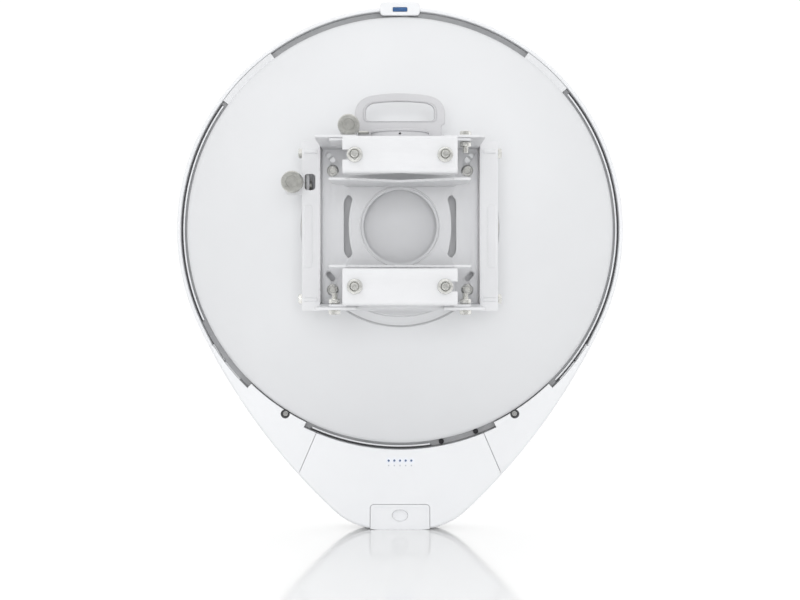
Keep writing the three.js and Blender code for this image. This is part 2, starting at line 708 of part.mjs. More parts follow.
for (const [end, side] of [['left', -1], ['right', 1]]) {
  const outwards = [0, side * 90, 0];
  for (const [row, s] of [['upper', 1], ['lower', -1]]) {
    const spot = [side * (FRAME_X + 0.2), ELEVATION_Y, s * ELEVATION_LOCK_Z];
    const bolt = turned(hexBolt(9.4), outwards);
    place('head', `elevation_lock_bolt_${row}_${end}`, bolt, zinc, spot);
  }
  const rivet = join(rod('z', 7, [0, 1.8]), rod('z', 4, [-8, 1]), rod('z', 6, [-7.6, -5.7]));
  const spot = [side * (FRAME_X + 0.2), ELEVATION_Y, 0];
  place('head', `elevation_pivot_${end}`, turned(rivet, outwards), zinc, spot);
}

// The elevation screw works against this post, riveted to the left ear through a slot in the frame.
const elevationTrunnion = cut(
  join(
    rod('x', 6.5, [-93.5, -82.4]),
    rod('x', 2.8, [-84, -74.8]),
    rod('x', 4.6, [-76.3, -74.8]),
  ),
  rod('y', 4, [-10, 10], { x: ELEVATION_SCREW.x }),
);
place('head', 'elevation_trunnion', elevationTrunnion, zinc, [0, ELEVATION_Y, ELEVATION_SCREW.z]);

// ---------------------------------------------------------------- dish and radome

const BOSS_FACE = 113.5;
const BOARD_Y = 119.2; // rear of the radio board, on posts of the rear cover

// Back of the dish at a radius: a shallow paraboloid, deepest behind the boss.
const coverY = (r, lift) => RIM_Y - 4 - 70 * (1 - (r / 200) ** 2) + lift;

function curve(radii, height) {
  return radii.map((r) => [r, height(r)]);
}

// Two drain plugs in the ring groove, and two screws that hold the side covers to the reflector's rim.
const DRAINS = [
  { name: 'left', x: 38.7, z: -198.3 },
  { name: 'right', x: 71, z: -188.9 },
];
const COVER_SCREWS = [
  { name: 'left', side: -1, x: -107.3, z: -172.1 },
  { name: 'right', side: 1, x: 107.3, z: -172.1 },
];

function rearCover() {
  const outer = [
    [0, BOSS_FACE],
    [78.5, BOSS_FACE],
    [84.5, BOSS_FACE + 9],
    ...curve([87.5, 125, 165, COVER_R], (r) => coverY(r, 0)),
    [COVER_R, 187],
  ];
  const inner = [
    [197, 187],
    ...curve([196, 165, 125, 88], (r) => coverY(r, 2.7)),
    [77, BOSS_FACE + WALL],
    [0, BOSS_FACE + WALL],
  ];
  const shell = toSolid(lathe([...outer, ...inner], 48));
  const tabs = [
    [-53.8, -36.2],
    [35.9, 49.7],
  ].map((arc) => sheet('y', ringPart([198, 205.2], arc), [184.7, 187], 8));
  const notches = [
    ...DRAINS.map(({ x, z }) => rod('y', 2.8, [150, 188], { x, z })),
    ...COVER_SCREWS.map(({ x, z }) => rod('y', 4, [150, 188], { x, z })),
  ];
  const posts = [30, 150, 270].map((angle) => {
    const at = { x: 45 * Math.cos(radians(angle)), z: 45 * Math.sin(radians(angle)) };
    return rod('y', 3, [BOSS_FACE + 1, BOARD_Y], at, 8);
  });
  return cut(join(shell, ...tabs, ...posts), ...notches);
}

place('head', 'rear_cover', rearCover(), whitePlastic);

const drainPlug = join(rod('y', 2.4, [-4, -0.2]), rod('y', 1.5, [-1, 1.6]));
for (const { name, x, z } of DRAINS) {
  place('head', `drain_plug_${name}`, drainPlug, rubber, [x, RIM[0], z]);
}
const coverScrew = join(rod('y', 2.6, [-5.6, -3.8]), rod('y', 1.5, [-4, 1.6]));
for (const { name, x, z } of COVER_SCREWS) {
  place('chin', `cover_screw_${name}`, coverScrew, zinc, [x, RIM[0], z]);
}

// Metal reflector: a paraboloid whose flat rim shows in the groove round the rear cover.
const reflectorY = (r, lift) => RIM_Y + 1 - 65 * (1 - (r / 199) ** 2) + lift;

// A raised bead runs along parts of the rim, in degrees from the top.
function reflector() {
  const radii = [9, 60, 110, 155, 192];
  const profile = [
    ...curve(radii, (r) => reflectorY(r, 0)),
    [198.8, RIM[0]],
    [205.2, RIM[0]],
    [205.2, RIM[1]],
    [198, RIM[1]],
    ...curve([...radii].reverse(), (r) => reflectorY(r, 1.6)),
  ];
  const beads = [
    [-114.7, -55],
    [51, 134],
    [172, 204],
  ].map((arc) => sheet('y', ringPart([202.1, 203.5], arc), [187.2, RIM[0] + 0.4], 12));
  const holes = [...DRAINS, ...COVER_SCREWS].map(({ x, z }) => rod('y', 1.8, [185, 195], { x, z }));
  return cut(join(toSolid(lathe([...profile, profile[0]], 48)), ...beads), ...holes);
}

place('head', 'reflector', reflector(), aluminium);

function radome() {
  const outer = [
    [0, 228.5],
    [70, 226.6],
    [130, 222.5],
    [180, 215.5],
    [203, 209.5],
    [RADOME_R, 201],
    [RADOME_R, SKIRT_END],
  ];
  const inner = [
    [RADOME_R - SKIRT, SKIRT_END],
    [RADOME_R - SKIRT, 200],
    [200.5, 207],
    [178.5, 212.9],
    [129, 219.9],
    [69.5, 224],
    [0, 225.9],
  ];
  const shell = toSolid(stretchToTeardrop(lathe([...outer, ...inner], 80), 129));
  const capGap = block([-18.9, 18.9], [180, 204.4], [204, 220]);
  const portGap = block([-PORT.x - 0.4, PORT.x + 0.4], [180, CHIN_FRONT + 0.4], [-290, PORT.z]);
  const chinSeat = sheet('y', teardrop(SKIRT + 0.3), [150, CHIN_FRONT + 0.4], 12);
  return cut(shell, capGap, portGap, chinSeat);
}

place('head', 'radome', radome(), whitePlastic);

const seal = toSolid(
  lathe(
    [
      [201, 191.3],
      [205, 191.3],
      [205, 194],
      [201, 194],
      [201, 191.3],
    ],
    48,
  ),
);
place('head', 'rim_seal', cut(seal, block([-18.9, 18.9], [190, 195], [202, 210])), rubber);

// Splash-plate feed: a tube through the hub, a dielectric cone and a small sub-reflector.
const feedTube = toSolid(
  lathe(
    [
      [0, 117.6],
      [15, 117.6],
      [15, 121.5],
      [7.5, 123],
      [7.5, 196],
      [10, 200],
      [20, 213.5],
      [0, 213.5],
    ],
    16,
  ),
);
place('head', 'feed_tube', feedTube, teflon);
const subReflector = toSolid(
  lathe(
    [
      [0, 213.7],
      [22, 213.7],
      [22, 215.5],
      [8, 218.5],
      [0, 218.5],
    ],
    16,
  ),
);
place('head', 'sub_reflector', subReflector, aluminium);
const radioBoard = cut(rod('y', 60, [BOARD_Y, BOARD_Y + 1.6], {}, 24), rod('y', 16, [110, 130]));
place('head', 'radio_board', radioBoard, boardGreen);

// ---------------------------------------------------------------- top cap

function topCap() {
  const outside = join(
    sheet('y', roundedBox([-18.6, 18.6], [200.8, 213], 3.5), [182.6, 188.4]),
    sheet('y', roundedBox([-18.6, 18.6], [205.7, 213], 3.5), [187.6, 204]),
  );
  const hollow = block([-16.9, 16.9], [184.6, 210], [206.4, 211.4]).add(
    block([-16.9, 16.9], [184.6, 210], [195, 207]),
  );
  const window = block([-7, 7], [180, 186], [203.9, 208.4]);
  return cut(outside, hollow, window);
}

place('head', 'top_cap', topCap(), whitePlastic);
const lens = sheet('y', roundedBox([-6.7, 6.7], [204.2, 208.1], 1), [182.3, 186.4]);
place('head', 'signal_window', lens, blueLens);
place('head', 'gps_antenna', block([-12.5, 12.5], [187.5, 203], [205.9, 211]), teflon);

// ---------------------------------------------------------------- chin

const seamX = (z) => SEAM_TOP.x + SEAM_SLOPE * (SEAM_TOP.z - z);

function wedge(gap) {
  const [high, low] = [-150, -300];
  return polygon([
    [-seamX(low) - gap, low],
    [seamX(low) + gap, low],
    [seamX(high) + gap, high],
    [-seamX(high) - gap, high],
  ]);
}

// A shallow tray between the dish ring and the radome's skirt, open towards the beam.
function chinShell() {
  const body = join(
    sheet('y', teardrop(CHIN_GAP), [CHIN_REAR, CHIN_FRONT], 12),
    sheet('y', teardrop(CHIN_LIP), [CHIN_REAR, SKIRT_END - 0.3], 12),
  );
  const ring = rod('y', CHIN_RING, [180, 210], {}, 80);
  const hollow = sheet('y', teardrop(CHIN_GAP + 2), [CHIN_REAR + WALL, 210], 12);
  const hollowRing = rod('y', CHIN_RING + 2, [180, 210], {}, 80);
  return cut(body, ring, cut(hollow, hollowRing));
}

const chin = chinShell();

function chinHousing() {
  const { x, z } = PORT;
  const centre = chin.intersect(sheet('y', wedge(-0.15), [170, 220]));
  const bayWall = (side) => (side > 0 ? [x + 0.3, x + 2.3] : [-x - 2.3, -x - 0.3]);
  const walls = [1, -1].map((side) => block(bayWall(side), [CHIN_REAR, CHIN_FRONT], [-274, z + 0.3]));
  const roof = block([-x - 2.3, x + 2.3], [CHIN_REAR, CHIN_FRONT], [z + 0.3, z + 2.3]);
  const opening = block([-x - 0.3, x + 0.3], [170, 220], [-300, z + 0.3]);
  const lights = [];
  for (let i = 0; i < LIGHTS.count; i += 1) {
    const offset = (i - (LIGHTS.count - 1) / 2) * LIGHTS.pitch;
    lights.push(rod('y', 1.1, [180, 190], { x: offset, z: LIGHTS.z }, 8));
  }
  const jackHole = block([-8.3, 8.3], [189.2, 210], [z - 1, z + 5]);
  const resetHole = rod('z', 1.7, [z - 1, z + 5], { x: 15, y: 194 });
  const posts = [1, -1].map((side) => {
    return rod('y', 2.5, [CHIN_REAR + 1, MAIN_BOARD_Y], { x: side * 48, z: -224 }, 8);
  });
  return cut(join(cut(centre, opening), ...walls, roof, ...posts), ...lights, jackHole, resetHole);
}

place('chin', 'chin_housing', chinHousing(), whitePlastic);

// A side cover's tongue closes the ring groove, and a screw stands in its round recess.
for (const { name, side, x, z } of COVER_SCREWS) {
  const half = side > 0 ? block([0, 230], [170, 220], [-280, -104]) : block([-230, 0], [170, 220], [-280, -104]);
  const arc = side > 0 ? TONGUE : [-TONGUE[1], -TONGUE[0]];
  const tongue = sheet('y', ringPart([COVER_R + 0.7, CHIN_RING + 1], arc), [CHIN_REAR, 187.6], 8);
  const whole = join(chin.intersect(half), tongue);
  const seam = sheet('y', wedge(0.15), [170, 220]);
  const recess = rod('y', 3.9, [170, RIM[0] - 3.8], { x, z });
  const cover = cut(whole, seam, recess, rod('y', 1.8, [170, 200], { x, z }));
  place('chin', `chin_cover_${name}`, cover, whitePlastic);
}

// Boards and connectors inside the chin.
const boardShape = polygon([
  [-68, -214],
  [68, -214],
  [58, -236],
  [30.5, -247],
  [-30.5, -247],
  [-58, -236],
]);
place('chin', 'main_board', sheet('y', boardShape, [MAIN_BOARD_Y, MAIN_BOARD_Y + 1.6]), boardGreen);

const jack = cut(
  block([-8, 8], [189.5, 203.2], [PORT.z + 0.7, PORT.z + 22.2]),
  block([-5.9, 5.9], [191.2, 199.6], [PORT.z - 9, PORT.z + 15.2]),
  block([-2.2, 2.2], [199, 201.4], [PORT.z - 9, PORT.z + 15.2]),
);
place('chin', 'ethernet_jack', jack, aluminium);

function lightGuide() {
  const bar = block([-13, 13], [187.2, 190], [LIGHTS.z - 2, LIGHTS.z + 2]);
  const pips = [];
  for (let i = 0; i < LIGHTS.count; i += 1) {
    const offset = (i - (LIGHTS.count - 1) / 2) * LIGHTS.pitch;
    pips.push(rod('y', 0.9, [CHIN_REAR - 0.2, 188], { x: offset, z: LIGHTS.z }, 8));
  }
  return join(bar, ...pips);
}

place('chin', 'light_guide', lightGuide(), clearLens);
const resetButton = join(
  rod('z', 1.4, [PORT.z - 2, PORT.z + 6], { x: 15, y: 194 }),
  rod('z', 2.6, [PORT.z + 3.4, PORT.z + 5], { x: 15, y: 194 }),
);
place('chin', 'reset_button', resetButton, darkPlastic);

// Port cover: the chin's lower middle, with a floor that closes the radome's skirt.
function portCover() {
  const { x, z } = PORT;
  const slab = (top) => block([-x, x], [170, 220], [-290, top]);
  const face = sheet('y', teardrop(0.6), [CHIN_REAR, CHIN_REAR + WALL], 12).intersect(
    sheet('y', roundedBox([-x, x], [-300, z], 3.5), [170, 220]),
  );
  const floor = cut(
    sheet('y', teardrop(0), [CHIN_REAR, CHIN_FRONT], 12),
    sheet('y', teardrop(3.2), [CHIN_REAR - 1, CHIN_FRONT + 1], 12),
  ).intersect(slab(-276));
  const button = sheet('y', buttonShape(0.3), [170, 220]);
  const gland = rod('z', 4.9, [-300, -270], GLAND, 16);
  return cut(join(face, floor), button, gland);
}

// The thumb button is round at the sides and flatter above and below.
function buttonShape(grow) {
  const shape = new THREE.Shape();
  shape.absellipse(0, THUMB_Z, 7.3 + grow, 5.3 + grow, 0, 2 * Math.PI, false, 0);
  return shape;
}

place('chin', 'port_cover', portCover(), whitePlastic);

const button = join(
  sheet('y', buttonShape(0), [CHIN_REAR - 0.6, 188.5]),
  sheet('y', buttonShape(1.6), [CHIN_REAR + WALL + 0.2, 188.5]),
);
place('chin', 'release_button', button, whitePlastic);

const grommet = cut(
  join(rod('z', 6, [-276.8, -275.4], GLAND, 16), rod('z', 4.7, [-280.2, -276], GLAND, 16)),
  rod('z', 3.3, [-285, -270], GLAND),
);
place('chin', 'cable_grommet', grommet, rubber);

export default bridge;
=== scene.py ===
"""Looks of an outdoor wireless bridge: a dish with a teardrop radome on a two-axis pole mount.

Lengths are in millimetres until a piece is finished, when it is scaled to metres.
+Z is up, +Y is along the radio beam, and the origin is on the pole's axis.
"""

import json
import math

import bmesh
import bpy
from mathutils import Matrix, Vector


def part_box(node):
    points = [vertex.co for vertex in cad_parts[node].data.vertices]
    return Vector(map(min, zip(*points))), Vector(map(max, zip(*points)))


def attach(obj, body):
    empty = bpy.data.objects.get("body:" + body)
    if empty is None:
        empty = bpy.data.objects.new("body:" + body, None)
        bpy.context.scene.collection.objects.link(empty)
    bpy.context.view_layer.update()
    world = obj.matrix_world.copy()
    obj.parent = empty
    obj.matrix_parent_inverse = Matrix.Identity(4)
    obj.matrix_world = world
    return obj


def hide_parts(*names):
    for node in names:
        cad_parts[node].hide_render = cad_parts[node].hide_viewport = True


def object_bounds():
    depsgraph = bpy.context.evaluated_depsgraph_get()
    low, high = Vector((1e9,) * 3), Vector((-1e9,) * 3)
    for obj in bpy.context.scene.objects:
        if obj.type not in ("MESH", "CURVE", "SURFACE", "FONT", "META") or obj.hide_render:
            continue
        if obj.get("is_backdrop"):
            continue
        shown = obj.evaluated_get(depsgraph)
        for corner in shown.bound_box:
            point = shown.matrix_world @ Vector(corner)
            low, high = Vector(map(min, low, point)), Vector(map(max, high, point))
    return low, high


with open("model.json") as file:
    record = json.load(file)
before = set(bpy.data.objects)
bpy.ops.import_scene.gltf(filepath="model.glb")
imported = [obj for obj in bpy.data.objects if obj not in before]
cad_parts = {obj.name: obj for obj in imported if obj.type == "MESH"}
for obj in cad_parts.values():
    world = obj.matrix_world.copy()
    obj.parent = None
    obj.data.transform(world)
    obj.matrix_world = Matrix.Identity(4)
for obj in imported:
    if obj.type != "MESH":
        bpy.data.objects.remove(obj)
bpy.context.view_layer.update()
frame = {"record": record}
BODY_OF = {n: b for b, names in frame["record"]["behaviour"]["bodies"].items() for n in names}
MM = 0.001


def box(node):
    """Lowest and highest corner of a CAD node, in millimetres."""
    low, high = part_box(node)
    return low / MM, high / MM


def middle(node):
    low, high = box(node)
    return (low + high) / 2


# ---- driving dimensions

RIM_Y = 188.5  # plane of the dish rim
COVER_R = 199.5  # edge of the rear cover
RADOME_R = 209.0  # round part of the radome
SKIRT = 3.4  # wall of the radome skirt
FLANK_R = 575.0  # radius of the chin's flanks
CORNER_R = 64.0  # radius of the chin's lower corners
CORNER_X, CORNER_Z = 18.0, -216.4
CHIN_GAP = 4.1  # from the radome's outline to the chin's side walls
CHIN_LIP = 1.8  # from the outline to the edge of the chin's face, which laps over the skirt
CHIN_REAR = box("chin_housing")[0].y
CHIN_RING = 205.5  # inner edge of the chin, round the dish
CHIN_WALL = 2.5
SKIRT_END = 184.5
TONGUE = (26.0, 44.0)  # the side covers close the ring groove here, in degrees from the bottom
RIM_REAR = 189.5  # the reflector's flat rim
TAB_SPANS = ((-53.8, -36.2), (35.9, 49.7))  # degrees from the top
BEAD_SPANS = ((-114.7, -55.0), (51.0, 134.0), (172.0, 204.0))
BEAD_R = (202.1, 203.5)
RIM_INNER = 197.0
COVER_SCREWS = [middle("cover_screw_left"), middle("cover_screw_right")]
LIGHTS_Z = -215.8
LIGHTS_PITCH = 5.3
LIGHT_XS = [(i - 2) * LIGHTS_PITCH for i in range(5)]
SEAM_TOP = (76.6, -186.0)
SEAM_SLOPE = 0.4326
PORT_X, PORT_TOP = 27.8, -257.0
THUMB_Z = -267.0

SHEET = 2.0  # plate of the mount
POLE_R = 25.0
APEX = POLE_R / math.sin(math.pi / 3)  # from the pole's axis to the bottom of a V notch
AZIMUTH_Y = 62.5  # the upright axis that azimuth_turn turns on
ELEVATION_Y = 88.5  # the level axis that elevation_tilt turns on
CHANNEL_Z = (32.9, 65.6)  # the upper pole channel; the lower one mirrors it
CHANNEL_NEAR, CHANNEL_FAR = 4.6, 81.0
BRACKET_X, BRACKET_TOP = 66.4, 67.8
BRACKET_WEB = (92.0, 94.0)
FRAME_X, FRAME_TOP = 82.0, 71.2
FRAME_FRONT, FRAME_BACK = 72.5, 103.3
FRAME_WEB = (94.3, 96.3)
FRAME_WINDOW = 31.4
CLAMP_X = 42.85
CLAMP_Z = (35.4, 63.2)
CLAMP_BOLT = (33.6, 49.0)  # x and z of the upper right one
LOCK_BOLT = (51.3, 14.5)  # x and y of the azimuth lock bolts
HANGER_X, HANGER_UPPER, HANGER_LOWER = 57.4, 47.4, -54.1
ELEVATION_LOCK_Z = 61.8  # radius of the elevation lock slots
BOSS_FACE = 113.5
BOSS_CREASE, BOSS_FOOT = 77.9, 86.9  # radii of the shaded lines round the boss


# ---- materials


class Nodes:
    """A material's node tree, built a call at a time."""

    def __init__(self, name):
        self.material = bpy.data.materials.new(name)
        self.material.use_nodes = True
        self.tree = self.material.node_tree
        self.shader = self.tree.nodes["Principled BSDF"]
        self.coords = self.tree.nodes.new("ShaderNodeTexCoord").outputs["Object"]

    def add(self, kind, inputs=(), **settings):
        node = self.tree.nodes.new(kind)
        for key, value in settings.items():
            setattr(node, key, value)
        for key, value in dict(inputs).items():
            if isinstance(value, bpy.types.NodeSocket):
                self.tree.links.new(value, node.inputs[key])
            else:
                node.inputs[key].default_value = value
        return node

    def math(self, operation, a, b=0.0):
        return self.add("ShaderNodeMath", {0: a, 1: b}, operation=operation).outputs[0]

    def vector(self, operation, a, b=(0, 0, 0), output="Vector"):
        return self.add("ShaderNodeVectorMath", {0: a, 1: b}, operation=operation).outputs[output]

    def part(self, vector, axis):
        return self.add("ShaderNodeSeparateXYZ", {0: vector}).outputs[axis]

    def step(self, value, low, high, **settings):
        """0 up to low and 1 from high on, or the other way round when high is the lower one."""
        inputs = {"Value": value, "From Min": low, "From Max": high}
        return self.add("ShaderNodeMapRange", inputs, **settings).outputs["Result"]

    def spread(self, factor, low, high):
        inputs = {"Value": factor, "To Min": low, "To Max": high}
        return self.add("ShaderNodeMapRange", inputs).outputs["Result"]

    def largest(self, values):
        total = values[0]
        for value in values[1:]:
            total = self.math("MAXIMUM", total, value)
        return total

    def noise(self, scale, detail=4.0, roughness=0.6, stretch=(1, 1, 1)):
        place = self.add("ShaderNodeMapping", {"Vector": self.coords, "Scale": stretch})
        inputs = {"Vector": place.outputs[0], "Scale": scale, "Detail": detail, "Roughness": roughness}
        return self.add("ShaderNodeTexNoise", inputs).outputs["Fac"]

    def ramp(self, factor, *stops):
        node = self.add("ShaderNodeValToRGB", {"Fac": factor})
        elements = node.color_ramp.elements
        while len(elements) < len(stops):
            elements.new(0.5)
        for element, (position, colour) in zip(elements, stops):
            element.position = position
            element.color = (*colour, 1)
        return node.outputs["Color"]

    def clouds(self, low, high, scale, *noise):
        """Soft clouds of one colour in another."""
        return self.ramp(self.noise(scale, *noise), (0.3, low), (0.7, high))

    def mix(self, factor, a, b, blend="MIX"):
        node = self.add("ShaderNodeMix", {"Factor": factor}, data_type="RGBA", blend_type=blend)
        for name, value in (("A_Color", a), ("B_Color", b)):
            socket = next(s for s in node.inputs if s.identifier == name)
            if isinstance(value, bpy.types.NodeSocket):
                self.tree.links.new(value, socket)
            else:
                socket.default_value = (*value, 1)
        return next(s for s in node.outputs if s.identifier == "Result_Color")

    def bump(self, height, distance, **normal):
        inputs = {"Height": height, "Distance": distance, "Strength": 1.0, **normal}
        return self.add("ShaderNodeBump", inputs).outputs["Normal"]

    def link(self, socket, output):
        self.tree.links.new(output, self.shader.inputs[socket])

    def surface(self, colour, rough, normal=None):
        self.link("Base Color", colour)
        self.link("Roughness", rough)
        if normal:
            self.link("Normal", normal)

    def set(self, **values):
        for key, value in values.items():
            self.shader.inputs[key.replace("_", " ")].default_value = value

    def paint_over(self, factor, colour):
        """Mixes a colour over the base colour made so far."""
        base = self.shader.inputs["Base Color"].links[0].from_socket
        self.link("Base Color", self.mix(factor, base, colour))


def tint(colour, factor):
    return tuple(min(1.0, c * factor) for c in colour)


def across_beam(n):
    """The coordinates flattened along the beam, and their distance from the beam's axis."""
    flat = n.vector("MULTIPLY", n.coords, (1, 0, 1))
    return flat, n.vector("LENGTH", flat, output="Value")


def ring(n, radius, half_width):
    """1 on a circle about the beam's axis, falling to 0 half a width to either side, in metres."""
    distance = n.math("ABSOLUTE", n.math("SUBTRACT", across_beam(n)[1], radius))
    return n.step(distance, half_width, 0.0, interpolation_type="SMOOTHSTEP")


def near_points(n, points, radius, core=0.0):
    """1 within a core round any of the (x, z) points, falling to 0 at a radius, in metres."""
    spots = []
    for x, z in points:
        offset = n.vector("SUBTRACT", n.coords, (x * MM, 0, z * MM))
        length = n.vector("LENGTH", n.vector("MULTIPLY", offset, (1, 0, 1)), output="Value")
        spots.append(n.step(length, radius, core, interpolation_type="SMOOTHSTEP"))
    return n.largest(spots)


def facing(n, axis, low, high):
    """How squarely the surface faces along an axis, either way: 0 below low, 1 above high."""
    normal = n.add("ShaderNodeTexCoord").outputs["Normal"]
    return n.step(n.math("ABSOLUTE", n.part(normal, axis)), low, high)


def moulded(name, colour, rough=(0.34, 0.46), grain=2600.0, texture=0.00003):
    """Moulded plastic: a fine spark-eroded grain, faint flow clouds and dulled patches."""
    n = Nodes(name)
    clouds = n.clouds(tint(colour, 0.975), tint(colour, 1.012), 9, 3, 0.5)
    n.surface(clouds, n.spread(n.noise(60, 5, 0.65), *rough), n.bump(n.noise(grain, 2, 0.5), texture))
    return n


def powder(name, colour, rough=(0.42, 0.58)):
    """Powder-coated steel: orange peel, a fine sparkle in the roughness and a touch darker in its hollows."""
    n = Nodes(name)
    body = n.ramp(n.noise(22), (0.3, tint(colour, 0.965)), (0.72, tint(colour, 1.01)))
    edges = n.add("ShaderNodeNewGeometry").outputs["Pointiness"]
    # concave parts, of low pointiness, are darkened a little
    darker_in_hollows = n.ramp(edges, (0.4, tint(colour, 0.9)), (0.5, (1, 1, 1)), (0.62, (1, 1, 1)))
    peel = n.bump(n.noise(900, 3, 0.55), 0.00005)
    sparkle = n.bump(n.noise(3600, 2, 0.5), 0.00001, Normal=peel)
    n.surface(n.mix(0.5, body, darker_in_hollows, "MULTIPLY"), n.spread(n.noise(420, 4, 0.7), *rough), sparkle)
    n.set(Coat_Weight=0.15, Coat_Roughness=0.35)
    return n.material


def plated(name, colour, rough=(0.24, 0.42)):
    """Zinc plate or bright metal: cloudy passivation, fine turning marks and dark speckles."""
    n = Nodes(name)
    tones = (0.25, tint(colour, 0.72)), (0.6, colour), (0.8, tint(colour, 1.12))
    specks = n.ramp(n.noise(1500, 2, 0.5), (0.3, tint(colour, 0.55)), (0.42, (1, 1, 1)))
    marks = n.bump(n.noise(2400, 3, 0.6, (1, 8, 1)), 0.00002)
    body = n.mix(0.35, n.ramp(n.noise(160, 6, 0.65), *tones), specks, "MULTIPLY")
    n.surface(body, n.spread(n.noise(700, 4, 0.7, (1, 6, 1)), *rough), marks)
    n.set(Metallic=1.0)
    return n.material


def rubber(name, colour):
    n = Nodes(name)
    clouds = n.clouds(tint(colour, 0.7), tint(colour, 1.35), 90, 5, 0.7)
    n.surface(clouds, n.spread(n.noise(300), 0.62, 0.85), n.bump(n.noise(1400), 0.00006))
    return n.material


def circuit(name):
    """Solder mask over copper: blocks of traces, pads and bare laminate."""
    n = Nodes(name)
    cells = n.add("ShaderNodeTexVoronoi", {"Vector": n.coords, "Scale": 260.0}, distance="MANHATTAN")
    distance = cells.outputs["Distance"]
    copper, mask, bare = (0.55, 0.42, 0.12), (0.02, 0.12, 0.06), (0.03, 0.2, 0.1)
    traces = n.ramp(distance, (0.08, copper), (0.14, mask), (0.5, bare))
    body = n.mix(n.spread(n.noise(40), 0.5, 1.0), traces, (0.03, 0.17, 0.09))
    n.surface(body, n.spread(n.noise(500), 0.25, 0.45), n.bump(distance, 0.0001))
    return n.material


def shell_plastic_with_painted_wall_shade(name, colour):
    """Moulded plastic with painted shade: greyer on the walls that run from front to back, which turn away
    from the light.
    """
    n = moulded(name, colour)
    base = n.shader.inputs["Base Color"].links[0].from_socket
    # painted shade: faces turned sideways to the beam are mixed towards a greyer tint
    n.link("Base Color", n.mix(facing(n, "Y", 0.15, 0.5), tint(colour, 0.74), base))
    return n


def creased_cover():
    """Cover plastic with the two creases round its boss picked out by the shade that gathers in them."""
    n = moulded("cover_plastic", tint(WHITE, 0.84), (0.38, 0.5), 2000.0, 0.00004)
    n.paint_over(ring(n, BOSS_FOOT * MM, 0.0011), tint(WHITE, 0.40))
    n.paint_over(ring(n, BOSS_CREASE * MM, 0.0009), tint(WHITE, 0.66))
    return n.material


def coat_with_painted_wall_light():
    """The frame's powder coat, with painted light: paler on the walls that face sideways, lifting the shade
    in its tray.
    """
    n = Nodes("frame_powder_coat")
    body = n.ramp(n.noise(22), (0.3, tint(COAT, 0.965)), (0.72, tint(COAT, 1.01)))
    # painted light: faces turned to the sides are mixed towards a near-white tint
    walls = n.mix(facing(n, "X", 0.6, 0.8), body, (0.97, 0.97, 0.975))
    n.surface(walls, n.spread(n.noise(420, 4, 0.7), 0.42, 0.58), n.bump(n.noise(900, 3, 0.55), 0.00005))
    n.set(Coat_Weight=0.15, Coat_Roughness=0.35)
    return n.material


def screwed_plastic():
    """Shell plastic with a dark ring of painted shade in the recess round each cover screw."""
    n = shell_plastic_with_painted_wall_shade("chin_cover_plastic", tint(WHITE, 0.95))
    screws = [(spot.x, spot.z) for spot in COVER_SCREWS]
    # painted shade: a near-black disc round each cover screw fills its recess
    n.paint_over(near_points(n, screws, 0.0044, 0.0041), (0.10, 0.10, 0.105))
    return n.material


def glowing_chin():
    """Chin plastic that the signal lights shine through a little, with a grey tick printed under each."""
    n = shell_plastic_with_painted_wall_shade("chin_plastic", tint(WHITE, 0.96))
    glow = near_points(n, [(x, LIGHTS_Z) for x in LIGHT_XS], 0.0042)
    n.link("Emission Color", n.ramp(glow, (0.0, (0.0, 0.0, 0.0)), (1.0, (0.03, 0.08, 0.22))))
    n.set(Emission_Strength=0.55)
    n.paint_over(near_points(n, [(x, LIGHTS_Z - 4.6) for x in LIGHT_XS], 0.0011), (0.42, 0.44, 0.48))
    return n.material


def lit_lens():
    n = Nodes("signal_light")
    tones = n.clouds((0.09, 0.13, 0.20), (0.13, 0.18, 0.27), 900)
    n.surface(tones, n.spread(n.noise(400), 0.1, 0.3))
    n.link("Emission Color", n.clouds((0.03, 0.07, 0.16), (0.05, 0.10, 0.20), 700))
    n.set(Emission_Strength=0.35, Coat_Weight=0.5)
    return n.material


def blue_lens():
    n = Nodes("blue_window")
    bands = n.clouds((0.012, 0.06, 0.19), (0.03, 0.13, 0.33), 180, 3, 0.5, (1, 1, 6))
    n.surface(bands, n.spread(n.noise(300), 0.06, 0.2), n.bump(n.noise(1200), 0.00002))
    n.set(Coat_Weight=0.8, Coat_Roughness=0.05, IOR=1.55)
    return n.material


def cast_grey():
    """Grey coat on the handle casting, with painted shade on its rolled edges, darker where they turn from
    the flat face.
    """
    n = Nodes("grey_powder_coat")
    rounded = n.add("ShaderNodeBevel", {"Radius": 0.0022}, samples=6).outputs[0]
    sharp = n.add("ShaderNodeNewGeometry").outputs["True Normal"]
    flatness = n.vector("DOT_PRODUCT", rounded, sharp, "Value")
    body = n.clouds((0.55, 0.55, 0.565), (0.59, 0.59, 0.605), 30)
    # painted shade: rounded edges, where the bevelled normal leaves the flat normal, are darkened
    edge = n.ramp(flatness, (0.75, (0.55, 0.55, 0.56)), (0.97, (1.0, 1.0, 1.0)))
    coat = n.mix(1.0, body, edge, "MULTIPLY")
    n.surface(coat, n.spread(n.noise(420, 4, 0.7), 0.42, 0.56), n.bump(n.noise(900, 3, 0.55), 0.00005))
    return n.material


def beside_beads(n, flat):
    """1 where a bead stands on the rim at that angle, else 0."""
    heading = n.vector("NORMALIZE", flat)
    spans = []
    for start, end in BEAD_SPANS:
        centre = math.radians((start + end) / 2)
        reach = math.cos(math.radians((end - start) / 2))
        along_span = n.vector("DOT_PRODUCT", heading, (math.sin(centre), 0, math.cos(centre)), "Value")
        spans.append(n.step(along_span, reach - 0.003, reach))
    return n.largest(spans)


